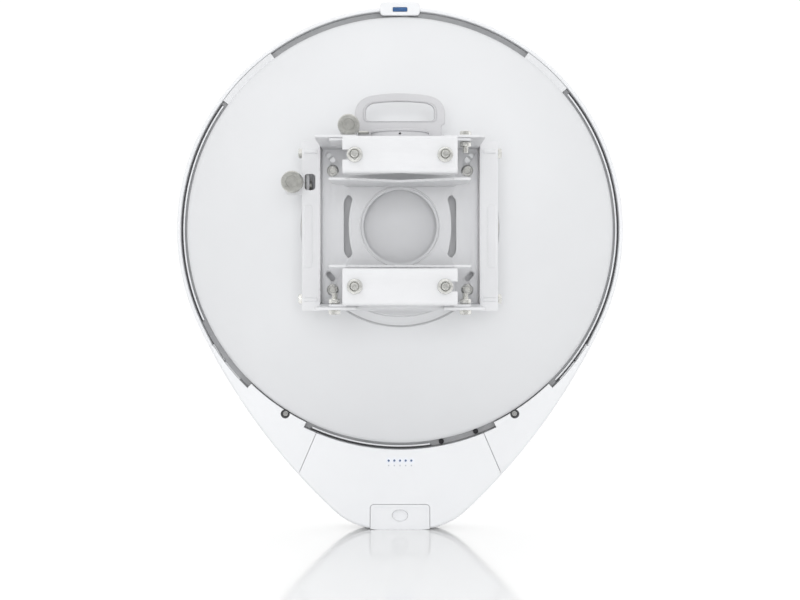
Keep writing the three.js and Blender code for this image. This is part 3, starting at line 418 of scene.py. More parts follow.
def rim_metal():
    """Spun aluminium, grey on its rim, with a painted shadow as a dark line outside each bead, and white on
    the bead itself.
    """
    n = Nodes("reflector_metal")
    flat, radius = across_beam(n)
    metal = n.ramp(n.noise(120, 6, 0.65), (0.25, (0.52, 0.53, 0.55)), (0.7, (0.70, 0.71, 0.73)))
    grey = n.clouds((0.31, 0.315, 0.325), (0.38, 0.385, 0.395), 40)
    # painted shadow: a near-black line on the rim just outside each bead, where the gap beside it lies in
    # shade
    edge = n.step(radius, (BEAD_R[1] - 0.4) * MM, (BEAD_R[1] + 0.1) * MM)
    coat = n.mix(n.math("MULTIPLY", edge, beside_beads(n, flat)), grey, (0.07, 0.07, 0.075))
    on_rim = n.step(radius, (RIM_INNER - 0.5) * MM, (RIM_INNER + 0.5) * MM)
    raised = n.step(n.part(n.coords, "Y"), (RIM_REAR - 0.4) * MM, (RIM_REAR - 0.8) * MM)
    body = n.mix(n.math("MULTIPLY", raised, on_rim), n.mix(on_rim, metal, coat), (0.80, 0.81, 0.83))
    n.surface(body, n.spread(n.noise(400, 4, 0.7), 0.32, 0.46), n.bump(n.noise(1500, 3), 0.00002))
    n.link("Metallic", n.spread(on_rim, 1.0, 0.0))
    return n.material


WHITE = (0.845, 0.855, 0.872)
COAT = (0.69, 0.695, 0.71)
white_plastic = moulded("white_plastic", tint(WHITE, 0.94)).material
radome_plastic = shell_plastic_with_painted_wall_shade("radome_plastic", tint(WHITE, 0.94)).material
cover_plastic = creased_cover()
chin_plastic = glowing_chin()
chin_cover_plastic = screwed_plastic()
white_coat = powder("white_powder_coat", COAT)
frame_coat = coat_with_painted_wall_light()
grey_coat = cast_grey()
zinc = plated("zinc_plate", (0.60, 0.60, 0.57))
bright_zinc = plated("bright_zinc_plate", (0.80, 0.80, 0.77), (0.12, 0.24))
bright_steel = plated("bright_steel", (0.62, 0.62, 0.61), (0.18, 0.34))
spun_aluminium = plated("spun_aluminium", (0.66, 0.67, 0.69), (0.3, 0.42))
reflector_metal = rim_metal()
black_rubber = rubber("black_rubber", (0.02, 0.02, 0.022))
dark_plastic = moulded("dark_plastic", (0.03, 0.032, 0.036)).material
ceramic = moulded("ceramic_and_dielectric", (0.66, 0.62, 0.52), (0.4, 0.6)).material
laminate = circuit("circuit_laminate")
light_lens = lit_lens()
window_lens = blue_lens()

# ---- mesh work


def welded(mesh, distance):
    """Joins points closer than a distance and turns every face outwards."""
    bm = bmesh.new()
    bm.from_mesh(mesh)
    bmesh.ops.remove_doubles(bm, verts=bm.verts, dist=distance)
    bmesh.ops.recalc_face_normals(bm, faces=bm.faces)
    bm.to_mesh(mesh)
    bm.free()
    return mesh


def new_mesh(vertices, faces):
    mesh = bpy.data.meshes.new("part")
    mesh.from_pydata(vertices, [], faces)
    return welded(mesh, 1e-4)


def strips(rows, count):
    """Faces between rings of points, each ring with the same count."""
    faces = []
    for first in range(0, (rows - 1) * count, count):
        for i in range(count):
            j = (i + 1) % count
            faces.append((first + i, first + j, first + count + j, first + count + i))
    return faces


def merge(*meshes):
    """One mesh of several, each left closed."""
    bm = bmesh.new()
    for mesh in meshes:
        bm.from_mesh(mesh)
    merged = bpy.data.meshes.new("part")
    bm.to_mesh(merged)
    bm.free()
    return merged


def moved(mesh, matrix):
    copy = mesh.copy()
    copy.transform(matrix)
    if matrix.determinant() < 0:
        copy.flip_normals()
    return copy


def shifted(mesh, x=0.0, y=0.0, z=0.0):
    return moved(mesh, Matrix.Translation((x, y, z)))


def mirrored(mesh):
    return moved(mesh, Matrix.Scale(-1, 4, (1, 0, 0)))


def along(axis, across, height):
    """The point (a, b) drawn across an axis: (x, z) for y, (y, z) for x, (x, y) for z."""
    a, b = across
    return {"x": (height, a, b), "y": (a, height, b), "z": (a, b, height)}[axis]


def flip(points):
    """The same outline on the other side of the middle, run the other way."""
    return [(-a, b) for a, b in reversed(points)]


def prism(axis, outline, span):
    count = len(outline)
    vertices = [along(axis, p, h) for h in span for p in outline]
    sides = [(i, (i + 1) % count, count + (i + 1) % count, count + i) for i in range(count)]
    return new_mesh(vertices, [tuple(range(count)), tuple(range(count, 2 * count)), *sides])


def block(xs, ys, zs):
    return prism("z", [(xs[0], ys[0]), (xs[1], ys[0]), (xs[1], ys[1]), (xs[0], ys[1])], zs)


def circle(radius, centre=(0.0, 0.0), count=48):
    turn = [2 * math.pi * i / count for i in range(count)]
    return [(centre[0] + radius * math.cos(t), centre[1] + radius * math.sin(t)) for t in turn]


def rod(axis, radius, span, centre=(0.0, 0.0), count=48):
    return prism(axis, circle(radius, centre, count), span)


def arc(centre, radius, start, end, count):
    """Points on an arc, from one angle to another in degrees."""
    steps = [math.radians(start + (end - start) * i / count) for i in range(count + 1)]
    return [(centre[0] + radius * math.cos(t), centre[1] + radius * math.sin(t)) for t in steps]


def round_rect(us, vs, r, count=8):
    (u0, u1), (v0, v1) = us, vs
    return [
        *arc((u1 - r, v0 + r), r, -90, 0, count),
        *arc((u1 - r, v1 - r), r, 0, 90, count),
        *arc((u0 + r, v1 - r), r, 90, 180, count),
        *arc((u0 + r, v0 + r), r, 180, 270, count),
    ]


def slot_outline(a, b, half, count=12):
    lean = math.degrees(math.atan2(b[1] - a[1], b[0] - a[0]))
    return [*arc(b, half, lean - 90, lean + 90, count), *arc(a, half, lean + 90, lean + 270, count)]


def arc_slot(centre, radius, angle, reach, half, count=24):
    start, end = angle - reach, angle + reach
    cap = [arc(centre, radius, at, at, 1)[0] for at in (start, end)]
    return [
        *arc(centre, radius + half, start, end, count),
        *arc(cap[1], half, end, end + 180, 10)[1:-1],
        *arc(centre, radius - half, end, start, count),
        *arc(cap[0], half, start + 180, start + 360, 10)[1:-1],
    ]


def curve(*points, count=10):
    """A quadratic curve from the first point to the last, pulled towards the middle one."""
    a, b, c = (Vector(p) for p in points)
    steps = [i / count for i in range(count + 1)]
    return [tuple(a * (1 - t) ** 2 + b * 2 * t * (1 - t) + c * t * t) for t in steps]


def turned(profile, count=96, axis="y", radius_at=None):
    """A closed profile of (radius, height) turned about an axis; radius_at reshapes the radius by angle."""
    rings = []
    vertices = []
    for radius, height in profile:
        if radius < 1e-6:
            rings.append([len(vertices)] * count)
            vertices.append(along(axis, (0, 0), height))
            continue
        rings.append(list(range(len(vertices), len(vertices) + count)))
        for i in range(count):
            t = 2 * math.pi * i / count
            r = radius_at(radius, t) if radius_at else radius
            vertices.append(along(axis, (r * math.cos(t), r * math.sin(t)), height))
    faces = []
    closed = profile[0][0] > 1e-6
    for k in range(len(rings) if closed else len(rings) - 1):
        a, b = rings[k], rings[(k + 1) % len(rings)]
        for i in range(count):
            j = (i + 1) % count
            face = list(dict.fromkeys([a[i], a[j], b[j], b[i]]))
            if len(face) > 2:
                faces.append(face)
    return new_mesh(vertices, faces)


def hexagon(flats):
    """Trims a radius to a hexagon across flats, as a hex head is milled from round bar."""

    def trim(radius, t):
        lean = (t % (math.pi / 3)) - math.pi / 6
        return min(radius, flats / 2 / math.cos(lean))

    return trim


def knurl(teeth, depth, outside):
    def cut(radius, t):
        if radius < outside - 0.05:
            return radius
        return radius - depth * (0.5 + 0.5 * math.cos(teeth * t))

    return cut


def threaded(radius, span, pitch, axis="y", count=28, depth=0.45):
    """A screw thread with a rounded crest, closed at both ends."""
    rows = max(2, int((span[1] - span[0]) / pitch * 5))
    vertices = []
    for k in range(rows + 1):
        height = span[0] + (span[1] - span[0]) * k / rows
        for i in range(count):
            phase = (height / pitch - i / count) % 1.0
            r = radius - depth * (0.5 - 0.5 * math.cos(2 * math.pi * phase))
            t = 2 * math.pi * i / count
            vertices.append(along(axis, (r * math.cos(t), r * math.sin(t)), height))
    ends = [tuple(range(count)), tuple(range(rows * count, (rows + 1) * count))]
    return new_mesh(vertices, ends + strips(rows + 1, count))


def evaluated(mesh, *modifiers):
    """The mesh with modifiers applied, each given as (type, settings)."""
    holder = bpy.data.objects.new("work", mesh)
    bpy.context.scene.collection.objects.link(holder)
    for kind, settings in modifiers:
        modifier = holder.modifiers.new(kind, kind)
        for key, value in settings.items():
            setattr(modifier, key, value)
    graph = bpy.context.evaluated_depsgraph_get()
    graph.update()
    result = bpy.data.meshes.new_from_object(holder.evaluated_get(graph))
    bpy.data.objects.remove(holder)
    return result


def boolean(mesh, tool, operation):
    helper = bpy.data.objects.new("tool", tool)
    bpy.context.scene.collection.objects.link(helper)
    settings = {"operation": operation, "object": helper, "solver": "EXACT", "use_self": True}
    result = evaluated(mesh, ("BOOLEAN", settings))
    bpy.data.objects.remove(helper)
    return result


def carve(mesh, *tools):
    return boolean(mesh, merge(*tools), "DIFFERENCE")


def common(mesh, tool):
    return boolean(mesh, tool, "INTERSECT")


def joined(*meshes):
    whole = meshes[0]
    for mesh in meshes[1:]:
        whole = boolean(whole, mesh, "UNION")
    return whole


def softened(mesh, width, segments=2, angle=32):
    settings = {
        "width": width,
        "segments": segments,
        "limit_method": "ANGLE",
        "angle_limit": math.radians(angle),
    }
    return evaluated(mesh, ("BEVEL", settings))


def finish_piece(node, mesh, material, smooth=38.0):
    """Scales a mesh to metres and puts it in a CAD node's place, with its body from the record."""
    mesh = mesh.copy()
    mesh.transform(Matrix.Scale(MM, 4))
    mesh.materials.clear()
    mesh.materials.append(material)
    mesh.polygons.foreach_set("material_index", [0] * len(mesh.polygons))
    mesh.shade_smooth()
    mesh.set_sharp_from_angle(angle=math.radians(smooth))
    obj = bpy.data.objects.new("look_" + node, mesh)
    bpy.context.scene.collection.objects.link(obj)
    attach(obj, BODY_OF[node])
    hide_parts(node)


# ---- teardrop outline


def teardrop(inset):
    """(x, z) points a distance inside the radome's edge: round top, long flanks, tight lower corners.
    Every inset has the same number of points, so that outlines can be bridged."""
    reach = FLANK_R - RADOME_R
    arm = math.hypot(CORNER_X, CORNER_Z)
    to_corner = (FLANK_R - CORNER_R) ** 2 - reach**2 - arm**2
    tilt = math.atan2(CORNER_X, -CORNER_Z)
    leave = math.asin(to_corner / (2 * reach * arm)) - tilt
    flank = (-reach * math.cos(leave), reach * math.sin(leave))
    meet = math.degrees(math.atan2(flank[1] - CORNER_Z, CORNER_X - flank[0]))
    leave = math.degrees(leave)
    right = [
        *arc((CORNER_X, CORNER_Z), CORNER_R - inset, -90, -meet, 24)[:-1],
        *arc(flank, FLANK_R - inset, -meet, -leave, 20)[:-1],
        *arc((0, 0), RADOME_R - inset, -leave, 90, 72),
    ]
    bottom = [(-CORNER_X + 2 * CORNER_X * k / 6, CORNER_Z - CORNER_R + inset) for k in range(1, 6)]
    return right + flip(right[:-1]) + bottom


OUTLINE = teardrop(0.0)


def stretched(radius):
    """The ring that a radius of the round dome becomes, pulled out towards the teardrop."""
    keep, full = 129.0, RADOME_R - SKIRT
    share = min(1.0, max(0.0, (radius - keep) / (full - keep)))
    share = share * share * (3 - 2 * share)
    ring = []
    for x, z in OUTLINE:
        edge = math.hypot(x, z)
        scale = (radius + share * (edge - RADOME_R)) / edge
        ring.append((x * scale, z * scale))
    return ring


def bridged(rings, cap_first=None, cap_last=None):
    """Bridges rings of (outline, y); a cap is the y of a middle point that closes an end."""
    count = len(rings[0][0])
    vertices = [(x, y, z) for outline, y in rings for x, z in outline]
    faces = strips(len(rings), count)
    for start, cap in ((0, cap_first), ((len(rings) - 1) * count, cap_last)):
        if cap is not None:
            vertices.append((0, cap, 0))
            tip = len(vertices) - 1
            faces.extend((start + i, start + (i + 1) % count, tip) for i in range(count))
    return new_mesh(vertices, faces)


DOME = [(196.0, 211.6), (188.0, 213.7), (180.0, 215.5), (165.0, 218.0), (148.0, 220.4)]
DOME += [(130.0, 222.5), (110.0, 224.2), (90.0, 225.6), (70.0, 226.7), (45.0, 227.7), (20.0, 228.3)]


def radome():
    lip = [(SKIRT, 1.0), (SKIRT - 0.3, 0.3), (SKIRT - 1.0, 0), (1.0, 0), (0.3, 0.3), (0.0, 1.0)]
    crown = [(0.0, 193.0), (0.0, 200.0), (0.3, 202.6), (1.2, 205.0), (2.8, 207.2), (4.6, 208.7)]
    outside = [(teardrop(inset), SKIRT_END + y) for inset, y in lip]
    outside += [(teardrop(inset), y) for inset, y in crown]
    outside += [(stretched(r - 1.0), y + 0.1) for r, y in DOME]
    inside = [(stretched(max(10.0, r - 2.0)), y - 2.6) for r, y in reversed(DOME)]
    inside += [(teardrop(6.5), 206.0), (teardrop(SKIRT + 0.4), 202.0), (teardrop(SKIRT), 200.0)]
    outer = bridged(outside, cap_last=228.5)
    inner = bridged(inside + [outside[0]], cap_first=225.8)
    shell = welded(merge(outer, inner), 1e-3)
    cap_gap = block((-18.9, 18.9), (180, 204.4), (204, 220))
    port_gap = block((-PORT_X - 0.4, PORT_X + 0.4), (180, 200.4), (-290, PORT_TOP))
    return carve(shell, cap_gap, port_gap)


finish_piece("radome", radome(), radome_plastic, smooth=45)

# ---- dish


def cover_y(r, lift=0.0):
    return RIM_Y - 4 - 70 * (1 - (r / 200) ** 2) + lift


DRAINS = [middle("drain_plug_left"), middle("drain_plug_right")]


def ring_part(r0, r1, start, end, count=40):
    """Part of a ring about the beam axis, between two angles measured in degrees from the top."""
    return [*arc((0, 0), r1, 90 - end, 90 - start, count), *arc((0, 0), r0, 90 - start, 90 - end, count)]


def rear_cover():
    radii = [90 + 105.5 * i / 26 for i in range(27)]
    boss = [(0, 0), (69.4, 0), (70.0, 0.5), (71.0, 0.5), (71.6, 0), (77.0, 0), (77.5, 0.9), (78.2, 0.9)]
    boss += [(78.8, 1.0), (83.2, 7.6), (84.6, 9.6)]
    outer = [(r, BOSS_FACE + rise) for r, rise in boss]
    outer += [(r, cover_y(r, lift)) for r, lift in ((86.5, 1.8), (87.3, 1.8), (88.2, 0))]
    outer += [(r, cover_y(r)) for r in radii]
    outer += [(198.4, cover_y(198.4)), (199.2, 184.5), (COVER_R, 185.2), (COVER_R, 186.8), (199.3, 187)]
    inner = [(196.6, 187), (194, cover_y(194, 2.7))]
    inner += [(r, cover_y(r, 2.7)) for r in reversed(radii[:-1])]
    inner += [(78, BOSS_FACE + 2.5), (0, BOSS_FACE + 2.5)]
    shell = turned(outer + inner, 256)
    notches = [rod("y", 2.8, (150, 188), (spot.x, spot.z), 32) for spot in DRAINS]
    notches += [rod("y", 4.0, (150, 188), (spot.x, spot.z), 40) for spot in COVER_SCREWS]
    tabs = [softened(prism("y", ring_part(198, 205.2, *span), (184.5, 187)), 0.25) for span in TAB_SPANS]
    return merge(carve(shell, *notches), *tabs)


finish_piece("rear_cover", rear_cover(), cover_plastic, smooth=30)

# ---- top cap


def top_cap():
    rear, low, high, half = 182.6, 200.8, 213.0, 18.6
    lower = softened(prism("y", round_rect((-half, half), (low, high), 3.5, 12), (rear, 188.4)), 0.7, 4, 60)
    upper = prism("y", round_rect((-half, half), (205.7, high), 3.5, 12), (186.0, 204.0))
    upper = softened(upper, 0.7, 4, 60)
    window = prism("y", round_rect((-7.0, 7.0), (203.9, 208.4), 1.1, 8), (170, 186))
    inside = block((-16.9, 16.9), (184.6, 205), (206.4, 211.4))
    return merge(carve(lower, window), carve(upper, window, inside))


finish_piece("top_cap", top_cap(), white_plastic)
lens = prism("y", round_rect((-6.7, 6.7), (204.2, 208.1), 1.0, 8), (182.3, 186.4))
finish_piece("signal_window", softened(lens, 0.35, 3, 60), window_lens)

# ---- chin


def seam_x(z):
    return SEAM_TOP[0] + SEAM_SLOPE * (SEAM_TOP[1] - z)


def ring_arc(radius, start_x, end_x, count):
    """Points on the lower half of the dish ring between two x, from the first to the second."""
    a, b = (math.degrees(math.asin(x / radius)) for x in (start_x, end_x))
    return [(radius * math.sin(math.radians(a + (b - a) * k / count)),
             -radius * math.cos(math.radians(a + (b - a) * k / count))) for k in range(count + 1)]


def seam_foot(gap, inset):
    """Where a seam, moved sideways by a gap, meets the teardrop on the right."""
    edge = [p for p in teardrop(inset) if p[0] > 0 and p[1] < -150]
    for (ax, az), (bx, bz) in zip(edge, edge[1:]):
        fa, fb = ax - seam_x(az) - gap, bx - seam_x(bz) - gap
        if fa * fb <= 0:
            t = fa / (fa - fb)
            return (ax + (bx - ax) * t, az + (bz - az) * t)
    raise ValueError("the seam misses the outline")


def seam_head(gap, radius):
    """Where a seam, moved sideways by a gap, meets the ring on the right."""
    z = -radius
    for _ in range(30):
        z = -math.sqrt(radius**2 - (seam_x(z) + gap) ** 2)
    return (seam_x(z) + gap, z)


def housing_outline(inset, ring, gap):
    """The chin's middle: down from the ring between the seams, round the lower corners and the port."""
    head, foot = seam_head(-gap, ring), seam_foot(-gap, inset)
    edge = [p for p in teardrop(inset) if p[0] > PORT_X + 0.3 and p[1] < foot[1]]
    right = [foot, *sorted(edge, key=lambda p: -p[0])]
    low = teardrop(inset)[0][1]
    floor_at = next((z for x, z in reversed(right)), low)
    corner, top = 3.8, PORT_TOP + 0.3
    port = [(PORT_X + 0.3, floor_at), *arc((PORT_X + 0.3 - corner, top - corner), corner, 0, 90, 8)]
    return ring_arc(ring, -head[0], head[0], 60) + right + port + flip(port) + flip(right)


def cover_outline(inset, ring, gap, tongue=None):
    """The chin's right cover: a sliver between the dish ring and the flank, ending at the seam.
    A tongue radius carries it inwards over the ring groove."""
    head, foot = seam_head(gap, ring), seam_foot(gap, inset)
    edge = [p for p in teardrop(inset) if p[0] > 0 and foot[1] < p[1] < -104]
    top = max(edge, key=lambda p: p[1])
    start_x = min(math.sqrt(ring**2 - top[1] ** 2), ring - 0.01)
    ring_side = ring_arc(ring, start_x, head[0], 50)
    if tongue:
        step_in, step_out = (math.sin(math.radians(a)) for a in reversed(TONGUE))
        ring_side = ring_arc(ring, start_x, ring * step_in, 16)
        ring_side += ring_arc(tongue, tongue * step_in, tongue * step_out, 24)
        ring_side += ring_arc(ring, ring * step_out, head[0], 6)
    return ring_side + [foot] + sorted(edge, key=lambda p: p[1])


def chin_tray(outline_at):
    """The thin walls behind a chin plate's face."""
    return carve(
        prism("y", outline_at(CHIN_GAP, 0.0), (CHIN_REAR + 1.2, 200.0)),
        prism("y", outline_at(CHIN_GAP + 1.9, 1.9), (CHIN_REAR + CHIN_WALL, 210.0)),
    )


def housing_at(inset, step):
    return housing_outline(inset, CHIN_RING + step, 0.2 + step)


def cover_at(inset, step):
    return cover_outline(inset, CHIN_RING + step, 0.2 + step)


FACE_SPAN = (CHIN_REAR, SKIRT_END - 0.3)


def chin_housing():
    lights = [rod("y", 1.1, (180, 190), (x, LIGHTS_Z), 24) for x in LIGHT_XS]
    face = softened(prism("y", housing_at(CHIN_LIP, 0.0), FACE_SPAN), 0.5, 4, 50)
    tray = merge(carve(face, *lights), carve(chin_tray(housing_at), *lights))
    x, z = PORT_X, PORT_TOP
    roof = carve(
        block((-x - 2.3, x + 2.3), (CHIN_REAR + 1.2, 200), (z + 0.5, z + 2.3)),
        block((-8.3, 8.3), (189.2, 210), (z - 1, z + 5)),
        rod("z", 1.7, (z - 1, z + 5), (15, 194), 24),
    )
    sides = [block((x + 0.4, x + 2.3), (CHIN_REAR + 1.2, 200), (-274, z + 1))]
    sides.append(mirrored(sides[0]))
    return merge(tray, roof, *sides)


finish_piece("chin_housing", chin_housing(), chin_plastic)


def chin_cover():
    """The right side cover, its tongue and the round recess of its screw."""
    spot = middle("cover_screw_right")
    inner = COVER_R + 0.7
    face = prism("y", cover_outline(CHIN_LIP, CHIN_RING, 0.2, inner), FACE_SPAN)
    recess = rod("y", 3.9, (170, 185.7), (spot.x, spot.z), 48)
    hole = rod("y", 1.8, (170, 200), (spot.x, spot.z), 24)
    sweep = [180 - angle for angle in reversed(TONGUE)]
    tongue = carve(prism("y", ring_part(inner + 0.1, CHIN_RING + 1, *sweep), (183.6, 187.6)), recess, hole)
    return merge(softened(carve(face, recess), 0.3, 3, 50), tongue, chin_tray(cover_at))


side_cover = chin_cover()
finish_piece("chin_cover_right", side_cover, chin_cover_plastic)
finish_piece("chin_cover_left", mirrored(side_cover), chin_cover_plastic)


def light_guide():
    bar = softened(block((-13, 13), (187.2, 190), (LIGHTS_Z - 2, LIGHTS_Z + 2)), 0.4)
    tip = [(0, CHIN_REAR - 0.25), (0.5, CHIN_REAR - 0.18), (0.85, CHIN_REAR + 0.05), (0.9, 188), (0, 188)]
    pip = turned(tip, 24)
    return merge(bar, *[shifted(pip, x=x, z=LIGHTS_Z) for x in LIGHT_XS])


finish_piece("light_guide", light_guide(), light_lens)


def button_ring(scale):
    return [(7.3 * scale * x, 5.3 * scale * z + THUMB_Z) for x, z in circle(1.0, (0, 0), 64)]


def release_button():
    """An oval thumb pad with a dished face and a thin raised lip."""
    dish = [(0.02, 1.9), (0.2, 1.84), (0.45, 1.5), (0.7, 0.9), (0.86, 0.2), (0.93, -0.3), (0.97, -0.6)]
    steps = [(s, CHIN_REAR + y) for s, y in (*dish, (0.992, -0.45), (1.0, -0.2))]
    steps += [(1.0, 187.0), (1.2, 187.1), (1.2, 188.4)]
    vertices = [(x, y, z) for scale, y in steps for x, z in button_ring(scale)]
    count = len(vertices) // len(steps)
    ends = [tuple(range(count)), tuple(range(len(vertices) - count, len(vertices)))]
    return new_mesh(vertices, ends + strips(len(steps), count))


def port_edge(inset):
    """The teardrop's lower edge under the port cover, from left to right."""
    return sorted((p for p in teardrop(inset) if abs(p[0]) < PORT_X and p[1] < -200), key=lambda p: p[0])


def port_cover():
    low, corner = port_edge(0.6), 3.5
    top = arc((PORT_X - corner, PORT_TOP - corner), corner, 0, 90, 8)
    side_z = low[-1][1]
    outline = [*low, (PORT_X, side_z), *top, *flip(top), (-PORT_X, side_z)]
    face = softened(prism("y", outline, (CHIN_REAR, CHIN_REAR + CHIN_WALL)), 0.7, 4, 50)
    hole = [(x * 1.03, (z - THUMB_Z) * 1.04 + THUMB_Z) for x, z in button_ring(1.0)]
    inner = round_rect((-PORT_X + 3.2, PORT_X - 3.2), (-277.4, PORT_TOP - 2.6), 2.2, 8)
    outer = round_rect((-PORT_X + 2.7, PORT_X - 2.7), (-277.9, PORT_TOP - 2.1), 2.7, 8)
    groove = carve(prism("y", outer, (180, CHIN_REAR + 0.3)), prism("y", inner, (179, 190)))
    face = carve(face, prism("y", hole, (180, 190)), groove)
    under, over = port_edge(0.0), port_edge(3.2)
    rim_z, shelf_z = under[-1][1] + 0.35, -275.9
    floor = [(-PORT_X, rim_z), *under, (PORT_X, rim_z)]
    floor += [(PORT_X, shelf_z), *reversed(over), (-PORT_X, shelf_z)]
    floor = softened(prism("y", floor, (CHIN_REAR + 0.1, 200.0)), 0.5, 3, 50)
    gland = rod("z", 4.9, (-300, -270), (0, 193.4), 40)
    return merge(face, carve(floor, gland))


finish_piece("port_cover", port_cover(), white_plastic)
finish_piece("release_button", release_button(), white_plastic)
gland_profile = [(3.3, -280.1), (4.2, -280.1), (4.7, -279.6), (4.7, -276.9), (6.0, -276.7), (6.0, -275.6)]
gland_profile += [(5.7, -275.4), (3.6, -275.4), (3.3, -275.8)]
finish_piece("cable_grommet", shifted(turned(gland_profile, 48, "z"), y=193.4), black_rubber)

# ---- fasteners


def hex_head(flats, height, washer, shank, length):
    """A bolt on +Y: washer face at 0, domed hex head towards -Y, shank towards +Y."""
    r = flats / 2 / math.cos(math.pi / 6)
    top = -height
    head = [(0, top + 0.35), (flats * 0.30, top + 0.35), (flats * 0.36, top), (flats * 0.455, top)]
    head += [(r * 0.93, top + 0.35), (r, top + 0.85), (r, -0.9), (0, -0.9)]
    body = turned(head, 72, radius_at=hexagon(flats))
    flange = [(0, -1.3), (washer - 0.9, -1.3), (washer, -0.65), (washer, -0.15), (washer - 0.2, 0), (0, 0)]
    stem = threaded(shank, (-0.3, length), 0.8, count=24, depth=0.3)
    return merge(body, turned(flange, 64), stem)


def set_bolt(node, mesh, direction, seat):
    """Puts a bolt made along +Y at a seat, its shank pointing in a direction."""
    turn = Vector((0, 1, 0)).rotation_difference(Vector(direction)).to_matrix().to_4x4()
    placed = moved(mesh, Matrix.Translation(seat) @ turn)
    finish_piece(node, placed, bright_zinc, smooth=32)


lock_nut = [(2.3, 4.6), (3.6, 4.5), (4.4, 4.9), (4.4, 7.8), (3.6, 8.2), (2.3, 8.1)]
lock_bolt = merge(hex_head(8.0, 4.0, 5.0, 2.4, 13.0), turned(lock_nut, 72, radius_at=hexagon(7.62)))
for node, side in (("azimuth_lock_bolt_upper", 1), ("azimuth_lock_bolt_lower_left", -1),
                   ("azimuth_lock_bolt_lower_right", -1)):
    place = middle(node)
    set_bolt(node, lock_bolt, (0, 0, -side), (place.x, place.y, side * (BRACKET_TOP + 0.1)))
hanger_screw = hex_head(8.0, 4.0, 5.0, 2.4, 8.4)
wall_bolt = hex_head(8.0, 4.0, 5.0, 2.4, 9.4)
for row in ("upper", "lower"):
    for end, side in (("left", -1), ("right", 1)):
        place = middle(f"hanger_screw_{row}_{end}")
        seat = (place.x, BRACKET_WEB[0] - 0.1, place.z)
        set_bolt(f"hanger_screw_{row}_{end}", hanger_screw, (0, 1, 0), seat)
        place = middle(f"elevation_lock_bolt_{row}_{end}")
        seat = (side * (FRAME_X + 0.2), ELEVATION_Y, place.z)
        set_bolt(f"elevation_lock_bolt_{row}_{end}", wall_bolt, (-side, 0, 0), seat)


def clamp_bolt():
    """A coach bolt: low domed head behind the channel, thread rolled on the clamp's end."""
    dome = [(0, 84.6), (2.5, 84.35), (5.0, 83.6), (6.6, 82.5), (7.5, 81.5), (7.5, 81.2), (0, 81.2)]
    shank = rod("y", 2.8, (-8.0, 82.0), count=36)
    thread = threaded(3.0, (-37.9, -7.9), 1.0, count=28, depth=0.42)
    point = turned([(0, -38.5), (2.1, -38.5), (2.6, -37.8), (2.6, -37), (0, -37)], 36)
    return merge(turned(dome, 64), shank, thread, point)


def flange_nut():
    """Hex nut on a broad flange, its bore countersunk, its top chamfered."""
    flats, top = 8.66, -37.5
    r = flats / 2 / math.cos(math.pi / 6)
    profile = [(3.05, -31.6), (3.05, top + 0.5), (3.5, top), (4.1, top)]
    profile += [(r * 0.95, top + 0.4), (r, top + 0.9), (r, -33.2), (4.0, -33.2)]
    nut = turned(profile + [(3.6, -31.6)], 72, radius_at=hexagon(flats))
    flange = [(3.4, -31.6), (5.8, -31.6), (5.9, -31.9), (5.8, -32.5)]
    flange += [(5.2, -33.2), (4.2, -33.9), (3.4, -33.9)]
    return merge(nut, turned(flange, 64))


bolt_mesh, nut_mesh = clamp_bolt(), flange_nut()
for row in ("upper", "lower"):
    for end in ("left", "right"):
        place = middle(f"clamp_bolt_{row}_{end}")
        for kind, mesh in (("bolt", bolt_mesh), ("nut", nut_mesh)):
            placed = shifted(mesh, x=place.x, z=place.z)
            finish_piece(f"clamp_{kind}_{row}_{end}", placed, bright_zinc, smooth=32)


def chamfered(radius, low, high, edge):
    """The profile of a round bar with both ends chamfered."""
    return [(0, low), (radius - edge, low), (radius, low + edge),
            (radius, high - edge), (radius - edge, high), (0, high)]


def adjust_screw(knob, knob_r, lug, end):
    """Knob with a knurled rim and a dished face, thrust collar, retaining clip and a fine thread."""
    near, far = knob
    face = [(0, near + 0.7), (knob_r * 0.52, near + 0.7), (knob_r * 0.56, near + 0.25), (knob_r * 0.72, near)]
    face += [(knob_r - 1.1, near), (knob_r, near + 0.9), (knob_r, far - 0.9), (knob_r - 0.9, far), (0, far)]
    head = turned(face, 180, radius_at=knurl(36, 0.28, knob_r))
    collar = chamfered(4.2, lug - 2.2, lug - 0.2, 0.3)
    low, high = lug + SHEET + 0.2, lug + SHEET + 1.6
    clip = [(0, low), (4.2, low), (4.2, high), (3.4, high), (0, high)]
    shank = threaded(2.5, (far - 0.5, end), 0.8, count=24, depth=0.25)
    return merge(head, turned(collar, 48), turned(clip, 48), shank)


for node, knob, knob_r, lug, end in (
    ("azimuth_screw", (9.5, 19.5), 8.6, 23.0, 70.5),
    ("elevation_screw", (41.5, 51.5), 9.0, FRAME_FRONT, 99.0),
):
    place = middle(node)
    finish_piece(node, shifted(adjust_screw(knob, knob_r, lug, end), x=place.x, z=place.z), zinc, smooth=40)


def rivet(head_r, head, shank_r, reach, inner_r, inner):
    """A shoulder rivet on -Z: a low dome on top, a shank and a spread inner head."""
    profile = [(0, head), (head_r * 0.6, head - 0.15), (head_r - 0.5, head - 0.6), (head_r, head - 1.1)]
    low, high = inner
    profile += [(head_r, 0), (shank_r, 0), (shank_r, high), (inner_r, high), (inner_r, low + 0.4)]
    profile += [(inner_r - 0.4, low), (shank_r, low), (shank_r, reach), (0, reach)]
    return turned(profile, 64, "z")


